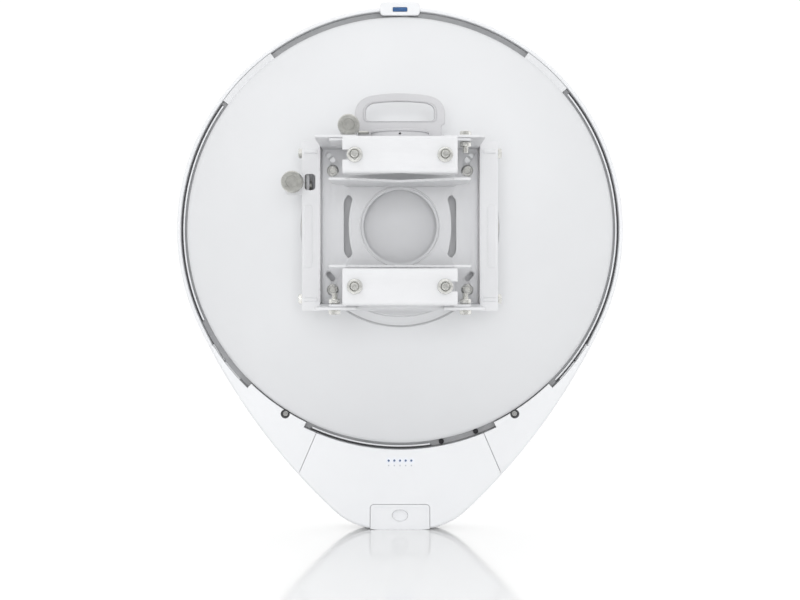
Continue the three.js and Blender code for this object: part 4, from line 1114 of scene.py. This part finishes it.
azimuth_rivet = rivet(6.0, 1.6, 4.0, -6.0, 6.0, (-6.4, -4.7))
for node, side, material in (("azimuth_pivot_upper", 1, zinc), ("azimuth_pivot_lower", -1, white_coat)):
    turn = Matrix.Rotation(0 if side > 0 else math.pi, 4, "X")
    seat = Matrix.Translation((0, AZIMUTH_Y, side * (BRACKET_TOP + 0.2)))
    finish_piece(node, moved(azimuth_rivet, seat @ turn), material)
wall_rivet = rivet(7.0, 1.8, 4.0, -8.0, 6.0, (-7.6, -5.7))
for end, side in (("left", -1), ("right", 1)):
    seat = Matrix.Translation((side * (FRAME_X + 0.2), ELEVATION_Y, 0))
    turn = Matrix.Rotation(side * math.pi / 2, 4, "Y")
    finish_piece(f"elevation_pivot_{end}", moved(wall_rivet, seat @ turn), zinc)

for end in ("left", "right"):
    for kind, r, face, back in (("drain_plug", 2.4, -4.0, -0.2), ("cover_screw", 2.6, -5.6, -3.8)):
        place = middle(f"{kind}_{end}")
        profile = [(0, face + 0.25), (r * 0.45, face + 0.25), (r * 0.55, face), (r - 0.35, face)]
        profile += [(r, face + 0.4), (r, back), (1.5, back), (1.5, 1.6), (0, 1.6)]
        cap = turned(profile, 40)
        if kind == "cover_screw":
            bars = [((-1.6, 1.6), (-0.28, 0.28)), ((-0.28, 0.28), (-1.6, 1.6))]
            cap = carve(cap, *[block(xs, (face - 1, face + 1.0), zs) for xs, zs in bars])
        placed = shifted(cap, x=place.x, y=RIM_REAR, z=place.z)
        finish_piece(f"{kind}_{end}", placed, black_rubber if kind == "drain_plug" else bright_steel)

# ---- pole channels and clamps


def toothed(a, b, teeth, depth):
    """A straight edge from a to b with saw teeth cut to its right, short of b."""
    length = math.dist(a, b)
    normal = ((b[1] - a[1]) / length, -(b[0] - a[0]) / length)
    points = []
    for i in range(teeth):
        tip, root = i / teeth, (i + 0.55) / teeth
        points.append((a[0] + tip * (b[0] - a[0]), a[1] + tip * (b[1] - a[1])))
        sunk = [a[k] + root * (b[k] - a[k]) + depth * normal[k] for k in (0, 1)]
        points.append(tuple(sunk))
    return [*points, b]


def bent_channel(depths, outer, inner_r=0.9, outer_r=2.9, open_far=False):
    """A C profile in (y, z): a web at depths[1], flanges back to depths[0], with bent corners.
    open_far puts the web at the near side instead."""
    near, far = depths
    low, high = outer
    web = far if not open_far else near
    tip = near if not open_far else far
    s = 1 if web > tip else -1
    angles = (0, 90) if s > 0 else (180, 90)
    top_out = arc((web - s * outer_r, high - outer_r), outer_r, angles[0], angles[1], 6)
    top_in = arc((web - s * (SHEET + inner_r), high - SHEET - inner_r), inner_r, angles[1], angles[0], 5)
    low_out, low_in = ([(y, low + high - z) for y, z in reversed(bend)] for bend in (top_out, top_in))
    outside, inside = [*low_out, *top_out], [*top_in, *low_in]
    return [(tip, low), *outside, (tip, high), (tip, high - SHEET), *inside, (tip, low + SHEET)]


def over_or_under(side, mesh):
    """The upper piece itself, or its mirror image for the lower side."""
    return mesh if side > 0 else moved(mesh, Matrix.Scale(-1, 4, (0, 0, 1)))


def pole_channel(side, lock_sides):
    """Made as the upper channel and mirrored in z for the lower one."""
    low, high = CHANNEL_Z
    notch_half = (APEX - CHANNEL_NEAR) * math.tan(math.pi / 3)
    notch = toothed((notch_half, CHANNEL_NEAR), (0, APEX), 6, 1.2)
    edge = [(46, CHANNEL_FAR + 1), (46, AZIMUTH_Y), *arc((52.0, 44.5), 3.5, 20, 0, 4)]
    edge += [(55.5, CHANNEL_NEAR + 3), *arc((52.5, CHANNEL_NEAR + 3), 3, 0, -90, 6)]
    plan = [*edge, *notch, *flip(notch)[1:], *flip(edge)]
    folded = prism("x", bent_channel((CHANNEL_NEAR - 1, CHANNEL_FAR), (low, high)), (-60, 60))
    body = common(folded, prism("z", plan, (low - 5, high + 5)))
    x, z = CLAMP_BOLT
    tools = [rod("y", 3.3, (70, 90), (s * x, z), 32) for s in (1, -1)]
    tools.append(rod("z", 4.2, (60, 70), (0, AZIMUTH_Y), 32))
    if side > 0:
        tools.append(rod("z", 3.0, (60, 70), (middle("azimuth_screw").x, AZIMUTH_Y), 32))
    tools += [rod("z", 2.6, (55, 70), (s * LOCK_BOLT[0], LOCK_BOLT[1]), 32) for s in lock_sides]
    return over_or_under(side, softened(carve(body, *tools), 0.3))


finish_piece("upper_pole_channel", pole_channel(1, [1]), white_coat, smooth=30)
finish_piece("lower_pole_channel", pole_channel(-1, [1, -1]), white_coat, smooth=30)


def clamp_plate(side, open_end):
    """A shallow toothed channel; one bolt hole is a slot open to the end, to swing the bolt in."""
    near, low, high = -12.0, *CLAMP_Z
    half = (near + APEX) * math.tan(math.pi / 3)
    notch = toothed((0, -APEX), (half, near), 5, 1.1)
    web = -APEX - 2.5
    edge = [(36, near), *arc((CLAMP_X - 2, near - 8 - 1), 2, 45, 0, 4), (CLAMP_X, web - 1)]
    plan = [*notch, *edge, *flip(edge), *flip(notch)[:-1]]
    profile = bent_channel((web, near + 1), (low, high), open_far=True)
    folded = prism("x", profile, (-CLAMP_X - 1, CLAMP_X + 1))
    body = common(folded, prism("z", plan, (low - 5, high + 5)))
    x, z = CLAMP_BOLT
    mouth = slot_outline((open_end * x, z), (open_end * (CLAMP_X + 6), z), 3.7)
    body = carve(body, prism("y", mouth, (-40, -20)), rod("y", 3.5, (-40, -20), (-open_end * x, z), 32))
    return over_or_under(side, softened(body, 0.3))


finish_piece("clamp_plate_upper", clamp_plate(1, -1), white_coat, smooth=30)
finish_piece("clamp_plate_lower", clamp_plate(-1, 1), white_coat, smooth=30)


def trunnion_post(radius, span, bore, axis, screw_at, stem, foot):
    """A turned post with a cross hole for the adjusting screw."""
    body = turned(chamfered(radius, *span, 0.6), 56, axis)
    hole = rod("y", bore, (-12, 12), screw_at, 40)
    return merge(carve(body, hole), *[rod(axis, r, ends, (0, 0), 40) for r, *ends in (stem, foot)])


azimuth_place = middle("azimuth_screw")
screw_z = azimuth_place.z
post = trunnion_post(6.2, (71.6, screw_z + 5), 3.9, "z", (0, screw_z), (2.8, 62, 68.4), (4.6, 61.8, 63.4))
post = merge(post, rod("z", 3.9, (68.1, 72.2), (0, 0), 40))
pointer = turned([(0, 5.5), (1.5, 5.5), (1.5, 13.6), (0.5, 14.6), (0, 14.6)], 24, "x")
post = merge(post, shifted(pointer, z=screw_z))
finish_piece("azimuth_trunnion", shifted(post, x=azimuth_place.x, y=AZIMUTH_Y), zinc)
elevation_place = middle("elevation_screw")
stem, foot = (2.8, -82.8, -74.8), (4.6, -76.3, -74.8)
post = trunnion_post(6.5, (-93.5, -82.4), 4.0, "x", (elevation_place.x, 0), stem, foot)
finish_piece("elevation_trunnion", shifted(post, y=ELEVATION_Y, z=elevation_place.z), zinc)

# ---- azimuth bracket

AZIMUTH_RANGE, ELEVATION_RANGE = 7.0, 8.0
LUG_Y = 23.0


def side_window(side, grow):
    right = [(48 + grow, 20), (47.2 + grow, 23.2 + grow), (44.5 + grow, 26.8 + grow), (42.4, 26.2 + grow)]
    right += [(40.5 - grow, 23.5 + grow)]
    bulge = curve((40.5 - grow, 23.5 + grow), (47 - grow, 0), (40.5 - grow, -23.5 - grow), count=20)
    lower = [(x, -z) for x, z in reversed(right)]
    return [(side * x, z) for x, z in (*right, *bulge[1:-1], *lower)]


def hook_slot(side, seat_z):
    """A bent slot: up from its seat, then out towards the bracket's edge."""
    seat, turn = (side * HANGER_X, seat_z), (side * (HANGER_X - 1.4), seat_z + 8)
    end = (side * (HANGER_X + 3.4), seat_z + 13.6)
    return [prism("y", slot_outline(a, b, 2.8), (90, 96)) for a, b in ((seat, turn), (turn, end))]


def azimuth_bracket():
    near, relief = 2.6, 34.0
    start = math.degrees(math.acos(near / relief))
    edge = arc((BRACKET_X - 4, near + 4), 4, -90, 0, 8)
    plan = [*edge, (BRACKET_X, BRACKET_WEB[1] + 1), (-BRACKET_X, BRACKET_WEB[1] + 1), *flip(edge)]
    plan += arc((0, 0), relief, 90 + start, 90 - start, 32)
    profile = bent_channel((near - 1, BRACKET_WEB[1]), (-BRACKET_TOP, BRACKET_TOP))
    body = common(prism("x", profile, (-70, 70)), prism("z", plan, (-80, 80)))
    reach = math.hypot(LOCK_BOLT[0], AZIMUTH_Y - LOCK_BOLT[1])
    angle = math.degrees(math.atan2(LOCK_BOLT[1] - AZIMUTH_Y, LOCK_BOLT[0]))
    screw = middle("azimuth_screw")
    tools = [rod("y", 33.5, (90, 96), (0, 0), 128)]
    tools += [prism("y", side_window(s, 0), (90, 96)) for s in (1, -1)]
    for at, span in ((angle, (60, 75)), (angle, (-75, -60)), (180 - angle, (-75, -60))):
        tools.append(prism("z", arc_slot((0, AZIMUTH_Y), reach, at, AZIMUTH_RANGE, 2.75), span))
    tools.append(prism("z", arc_slot((0, AZIMUTH_Y), -screw.x, 180, AZIMUTH_RANGE, 3.3), (60, 75)))
    tools.append(rod("z", 4.2, (-75, 75), (0, AZIMUTH_Y), 40))
    body = carve(body, *tools)
    for side in (1, -1):
        for seat in (HANGER_UPPER, HANGER_LOWER):
            body = carve(body, *hook_slot(side, seat))
    body = softened(body, 0.3)
    lug = round_rect((screw.x - 7, screw.x + 7), (60, 83.5), 6, 12)
    tab = carve(prism("y", lug, (LUG_Y, LUG_Y + SHEET)), block((-60, 0), (0, 60), (50, BRACKET_TOP - 0.6)),
                rod("y", 2.9, (20, 30), (screw.x, screw.z), 32))
    rim = [(33.5, 92.1), (33.8, 91.7), (34.2, 91.6), (34.6, 91.8), (34.8, 92.1), (34.8, 92.6), (33.5, 92.6)]
    return merge(body, softened(tab, 0.3), turned(rim, 160))


finish_piece("azimuth_bracket", azimuth_bracket(), white_coat, smooth=30)

# ---- elevation frame and handle


def frame_side():
    """The blanks of the right side: the front strip, its inner flange and the wall."""
    strip = block((67, FRAME_X), (FRAME_FRONT, FRAME_FRONT + SHEET), (-FRAME_TOP, FRAME_TOP))
    inner = block((67, 69), (FRAME_FRONT, FRAME_WEB[1]), (-FRAME_TOP, FRAME_TOP))
    wall = block((80, FRAME_X), (FRAME_FRONT, FRAME_BACK), (-FRAME_TOP, FRAME_TOP))
    return strip, inner, wall


def elevation_frame():
    top = FRAME_TOP
    web = block((-68, 68), FRAME_WEB, (-top, top))
    shelf = block((-FRAME_X, FRAME_X), (FRAME_FRONT, FRAME_BACK), (top - SHEET, top))
    floor = block((-FRAME_X, FRAME_X), (FRAME_FRONT, FRAME_BACK), (-top, SHEET - top))
    sides = frame_side()
    body = joined(web, shelf, floor, *sides, *[mirrored(m) for m in sides])
    screw = middle("elevation_screw")
    lug = round_rect((screw.x - 9, -FRAME_X + 1), (screw.z - 9, screw.z + 9), 4, 10)
    body = joined(body, prism("y", lug, (FRAME_FRONT, FRAME_FRONT + SHEET)))
    pivot = (ELEVATION_Y, 0)
    tools = [rod("y", FRAME_WINDOW, (90, 100), (0, 0), 128)]
    for side in (1, -1):
        for seat in (HANGER_UPPER, HANGER_LOWER):
            low, high = (side * (HANGER_X + 0.2), seat + 9.4), (side * (HANGER_X + 3.4), seat + 13.2)
            tools.append(prism("y", slot_outline(low, high, 2.2), (92, 98)))
    tools += [prism("y", side_window(s, 0.8), (90, 100)) for s in (1, -1)]
    for span in ((-90, -70.5), (70.5, 90)):
        for angle in (90, -90):
            slot = arc_slot(pivot, ELEVATION_LOCK_Z, angle, ELEVATION_RANGE, 2.75)
            tools.append(prism("x", slot, span))
        tools.append(rod("x", 4.2, span, pivot, 40))
    tools.append(prism("x", arc_slot(pivot, screw.z, 90, ELEVATION_RANGE, 3.1), (-90, -75)))
    tools.append(prism("y", round_rect((-79.9, -70.8), (29.6, 43.3), 3, 8), (70, 76)))
    tools.append(rod("y", 2.9, (60, 80), (screw.x, screw.z), 32))
    body = softened(carve(body, *tools), 0.45, 3)
    pad = prism("y", round_rect((73.2, 80.0), (-35, 17), 2, 8), (FRAME_FRONT - 0.7, FRAME_FRONT + 0.6))
    pad = softened(pad, 0.2, 2, 50)
    extras = [pad, mirrored(pad)]
    for z in (ELEVATION_LOCK_Z, -ELEVATION_LOCK_Z):
        rib = turned([(0, 69.4), (1.9, 69.6), (1.9, 80.1), (0, 80.3)], 32, "x")
        rib = shifted(rib, y=FRAME_FRONT + 0.6, z=z)
        extras += [rib, mirrored(rib)]
    boss = turned([(2.6, 95.5), (5.4, 95.5), (5.0, 96.8), (5.0, 100.1), (4.6, 100.6), (2.6, 100.6)], 40)
    for x in (HANGER_X, -HANGER_X):
        extras += [shifted(boss, x=x, z=z) for z in (HANGER_UPPER, HANGER_LOWER)]
    return merge(body, *extras)


finish_piece("elevation_frame", elevation_frame(), frame_coat, smooth=30)


def carry_handle():
    """A cast loop with rolled edges on a stepped neck, a dial plate under it and a foot behind."""
    top = 111.4
    right = [(35, FRAME_TOP + 0.2), (35, 83.6), (35.6, 84.6), (38, 85.5), (38, 93)]
    right += curve((38, 93), (38, 107.5), (22, top - 1.6), count=14)[1:]
    crown = curve((22, top - 1.6), (0, top + 1.6), (-22, top - 1.6), count=24)[1:-1]
    outline = [*right, *crown, *flip(right)]
    hole_right = [(24.5, 88), *curve((24.5, 88), (28.6, 88), (28.6, 92))[1:], (28.6, 95.5)]
    hole_right += curve((28.6, 95.5), (28.6, 102), (20, 103), count=12)[1:]
    hole_top = curve((20, 103), (0, 105.2), (-20, 103), count=20)[1:-1]
    hole = [*hole_right, *hole_top, *flip(hole_right)]
    plate = carve(prism("y", outline, (76.5, 79.5)), prism("y", hole, (70, 85)))
    loop = softened(plate, 1.15, 4, 40)
    bead = [(x * 1.07, (z - 95.5) * 1.10 + 95.4) for x, z in hole]
    opening = [(x * 1.015, (z - 95.5) * 1.02 + 95.5) for x, z in hole]
    lip = carve(prism("y", bead, (76.1, 77.2)), prism("y", opening, (70, 85)))
    drum = [(0, 77.3), (23.4, 77.3), (24.0, 76.7), (24.0, 75.4), (23.4, 75.2), (23.4, 74.8), (24.0, 74.6)]
    foot_z = BRACKET_TOP + 0.4
    drum += [(24.0, foot_z + 0.2), (23.8, foot_z), (22.2, foot_z), (22.2, 75.3), (0, 75.3)]
    drum = shifted(turned(drum, 160, "z"), y=AZIMUTH_Y)
    drum = common(drum, block((-30, 30), (30, FRAME_FRONT - 0.5), (60, 80)))
    drum = carve(drum, rod("y", 0.8, (30, 45), (0, 73), 24))
    dial = merge(drum, block((-23, 23), (70, 77.5), (75.35, 77.25)))
    foot = softened(block((-30, 30), (78, 98), (FRAME_TOP + 0.2, FRAME_TOP + 2.2)), 0.5, 3)
    return merge(loop, softened(lip, 0.35, 3), dial, foot)


finish_piece("carry_handle", carry_handle(), grey_coat, smooth=40)

# ---- elevation bracket


def elevation_bracket():
    """Two ears on a thick base plate, bolted behind the dish."""
    near, back = 110.0, 113.2
    upper = [(back, 48), (100.2, 62.6), *arc((97, 62.5), 3, 40, 90, 5), *arc((87.5, 62.2), 3, 90, 180, 6)]
    upper += [(84.4, 30), (78, 12)]
    lower = [(y, -z) for y, z in reversed(upper)]
    profile = [*lower, *upper]
    screw_z = middle("elevation_screw").z
    ears = []
    for side in (1, -1):
        span = (76.6, 79.4) if side > 0 else (-79.4, -76.6)
        ear = prism("x", profile, span)
        tools = [rod("x", 4.1, (-90, 90), (ELEVATION_Y, 0), 40)]
        tools += [rod("x", 2.6, (-90, 90), (ELEVATION_Y, s * ELEVATION_LOCK_Z), 32) for s in (1, -1)]
        if side < 0:
            tools.append(rod("x", 3.0, (-90, -70), (ELEVATION_Y, screw_z), 32))
        ears.append(softened(carve(ear, *tools), 0.3))
        weld = turned([(2.6, 73.4), (3.6, 73.4), (3.9, 73.8), (3.9, 76.8), (2.6, 76.8)], 40, "x")
        if side < 0:
            weld = mirrored(weld)
        ears += [shifted(weld, y=ELEVATION_Y, z=s * ELEVATION_LOCK_Z) for s in (1, -1)]
    base = softened(block((-79.4, 79.4), (near, back), (-48, 48)), 0.5, 3)
    return merge(base, *ears)


finish_piece("elevation_bracket", elevation_bracket(), white_coat, smooth=30)

# ---- reflector and inner parts


def reflector():
    """The spun metal dish; its rolled rim shows in the groove round the rear cover."""
    def height(r, lift):
        return RIM_Y + 1 - 65 * (1 - (r / 199) ** 2) + lift

    radii = [9 + 186 * i / 24 for i in range(25)]
    profile = [(r, height(r, 0)) for r in radii]
    profile += [(198.8, RIM_REAR), (204.9, RIM_REAR), (205.2, RIM_REAR + 0.3)]
    profile += [(205.2, 190.8), (204.9, 191.0), (198, 191.0)]
    profile += [(r, height(r, 1.6)) for r in reversed(radii)]
    spots = [rod("y", 1.8, (185, 195), (spot.x, spot.z), 24) for spot in (*DRAINS, *COVER_SCREWS)]
    beads = [prism("y", ring_part(*BEAD_R, *span, 90), (187.2, RIM_REAR + 0.4)) for span in BEAD_SPANS]
    return merge(carve(turned(profile, 256), *spots), *[softened(bead, 0.3) for bead in beads])


finish_piece("reflector", reflector(), reflector_metal)
seal = [(201, 191.6), (201.5, 191.3), (204.6, 191.3), (205, 191.7), (205, 193.6), (203, 194), (201, 193.6)]
seal = carve(turned(seal, 192), block((-18.9, 18.9), (190, 195), (202, 210)))
finish_piece("rim_seal", seal, black_rubber)
feed = [(0, 117.6), (15, 117.6), (15, 121.2), (7.6, 123), (7.5, 195), (8.6, 198), (20, 213.2), (20, 213.5)]
feed += [(0, 213.5)]
finish_piece("feed_tube", turned(feed, 96), ceramic)
splash = [(0, 213.7), (21.6, 213.7), (22, 214.1), (22, 215.2), (8.6, 218.2), (7, 218.5), (0, 218.5)]
finish_piece("sub_reflector", turned(splash, 96), spun_aluminium)


def chips(depths, *corners):
    """Packages on a board, each given by its lowest x and z, its width and its height."""
    return [softened(block((x, x + w), depths, (z, z + h)), 0.25) for x, z, w, h in corners]


board = carve(rod("y", 60, (119.2, 120.8), (0, 0), 96), rod("y", 16, (110, 130), (0, 0), 64))
radio_chips = chips((118.0, 119.4), (24, -9, 18, 18), (-44, -14, 12, 9), (-8, 26, 16, 12))
finish_piece("radio_board", merge(softened(board, 0.1), *radio_chips), laminate)
edge = [(-68, -214), (68, -214), (58, -236), (30.5, -247), (-30.5, -247), (-58, -236)]
board = softened(prism("y", edge, (203.5, 205.1)), 0.2)
main_chips = chips((201.8, 203.7), (-40, -230, 16, 10), (20, -226, 9, 9), (34, -230, 6, 8))
finish_piece("main_board", merge(board, *main_chips), laminate)


def ethernet_jack():
    shell = softened(block((-8, 8), (189.5, 203.2), (PORT_TOP + 0.7, PORT_TOP + 22.2)), 0.4, 3)
    mouth = (PORT_TOP - 9, PORT_TOP + 15.2)
    shell = carve(shell, block((-5.9, 5.9), (191.2, 199.6), mouth), block((-2.2, 2.2), (199, 201.4), mouth))
    pin_span = (PORT_TOP + 3, PORT_TOP + 15)
    xs = [-4.4 + 1.26 * i for i in range(8)]
    pins = [block((x - 0.25, x + 0.25), (191.2, 191.9), pin_span) for x in xs]
    return merge(shell, *pins)


finish_piece("ethernet_jack", ethernet_jack(), bright_steel)
finish_piece("gps_antenna", softened(block((-12.5, 12.5), (187.5, 203), (205.9, 211)), 0.5, 3), ceramic)
reset = [(0, -2), (1.1, -2), (1.4, -1.7), (1.4, 3.4), (2.6, 3.4), (2.6, 5), (1.4, 5), (1.4, 6), (0, 6)]
reset = turned([(r, PORT_TOP + z) for r, z in reset], 40, "z")
finish_piece("reset_button", shifted(reset, x=15, y=194), dark_plastic)

# ---- stage, light and camera

FLOOR_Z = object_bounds()[0].z


def floor():
    """A glossy white table, big enough that its far edge never shows."""
    bm = bmesh.new()
    bmesh.ops.create_grid(bm, x_segments=12, y_segments=12, size=6.0)
    mesh = bpy.data.meshes.new("floor")
    bm.to_mesh(mesh)
    bm.free()
    obj = bpy.data.objects.new("floor", mesh)
    obj.location.z = FLOOR_Z
    n = Nodes("white_table")
    n.surface(n.clouds((0.93, 0.93, 0.93), (0.95, 0.95, 0.95), 2.0), n.spread(n.noise(30), 0.09, 0.14))
    n.set(Metallic=0.45, IOR=2.0)
    mesh.materials.append(n.material)
    bpy.context.scene.collection.objects.link(obj)
    obj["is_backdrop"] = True


floor()


def sky():
    """Soft even light: brighter overhead and behind the object, dimmer from the camera's side."""
    world = bpy.data.worlds.new("studio")
    world.use_nodes = True
    tree = world.node_tree
    background = tree.nodes["Background"]
    coords = tree.nodes.new("ShaderNodeTexCoord").outputs["Generated"]
    split = tree.nodes.new("ShaderNodeSeparateXYZ")
    tree.links.new(coords, split.inputs[0])
    total = tree.nodes.new("ShaderNodeMath")
    behind, overhead = ("Y", "SMOOTHSTEP", (-0.4, 0.5, 0.64, 1.06)), ("Z", "LINEAR", (0.2, 1.0, 0.0, 0.43))
    for slot, (axis, blend, limits) in enumerate((behind, overhead)):
        glow = tree.nodes.new("ShaderNodeMapRange")
        glow.interpolation_type = blend
        for name, value in zip(("From Min", "From Max", "To Min", "To Max"), limits):
            glow.inputs[name].default_value = value
        tree.links.new(split.outputs[axis], glow.inputs["Value"])
        tree.links.new(glow.outputs[0], total.inputs[slot])
    background.inputs["Color"].default_value = (1, 1, 1, 1)
    tree.links.new(total.outputs[0], background.inputs["Strength"])
    bpy.context.scene.world = world


sky()


def soft_box(name, place, aim, size, power, mirrored_in_metal=True):
    light = bpy.data.lights.new(name, "AREA")
    light.shape = "RECTANGLE"
    light.size, light.size_y = size
    light.energy = power
    obj = bpy.data.objects.new(name, light)
    obj.location = place
    obj.rotation_euler = (Vector(aim) - Vector(place)).to_track_quat("-Z", "Y").to_euler()
    obj.visible_glossy = mirrored_in_metal
    bpy.context.scene.collection.objects.link(obj)


soft_box("key", (-0.4, -1.3, 1.6), (0, 0.15, 0.05), (0.9, 0.6), 1.5)
soft_box("front", (0.0, -1.9, -0.03), (0, 0.15, -0.03), (0.9, 0.9), 22.0, mirrored_in_metal=False)

EYE_DISTANCE, EYE_HEIGHT = 1.045, -0.0338
camera = bpy.data.cameras.new("camera")
camera.lens, camera.sensor_width = 50.0, 36.0
camera.shift_y = -0.0425
camera_object = bpy.data.objects.new("camera", camera)
camera_object.location = (0.0, RIM_Y * MM - EYE_DISTANCE, EYE_HEIGHT)
camera_object.rotation_euler = (math.radians(90), 0, 0)
bpy.context.scene.collection.objects.link(camera_object)
bpy.context.scene.camera = camera_object
bpy.context.scene.view_settings.view_transform = "Standard"
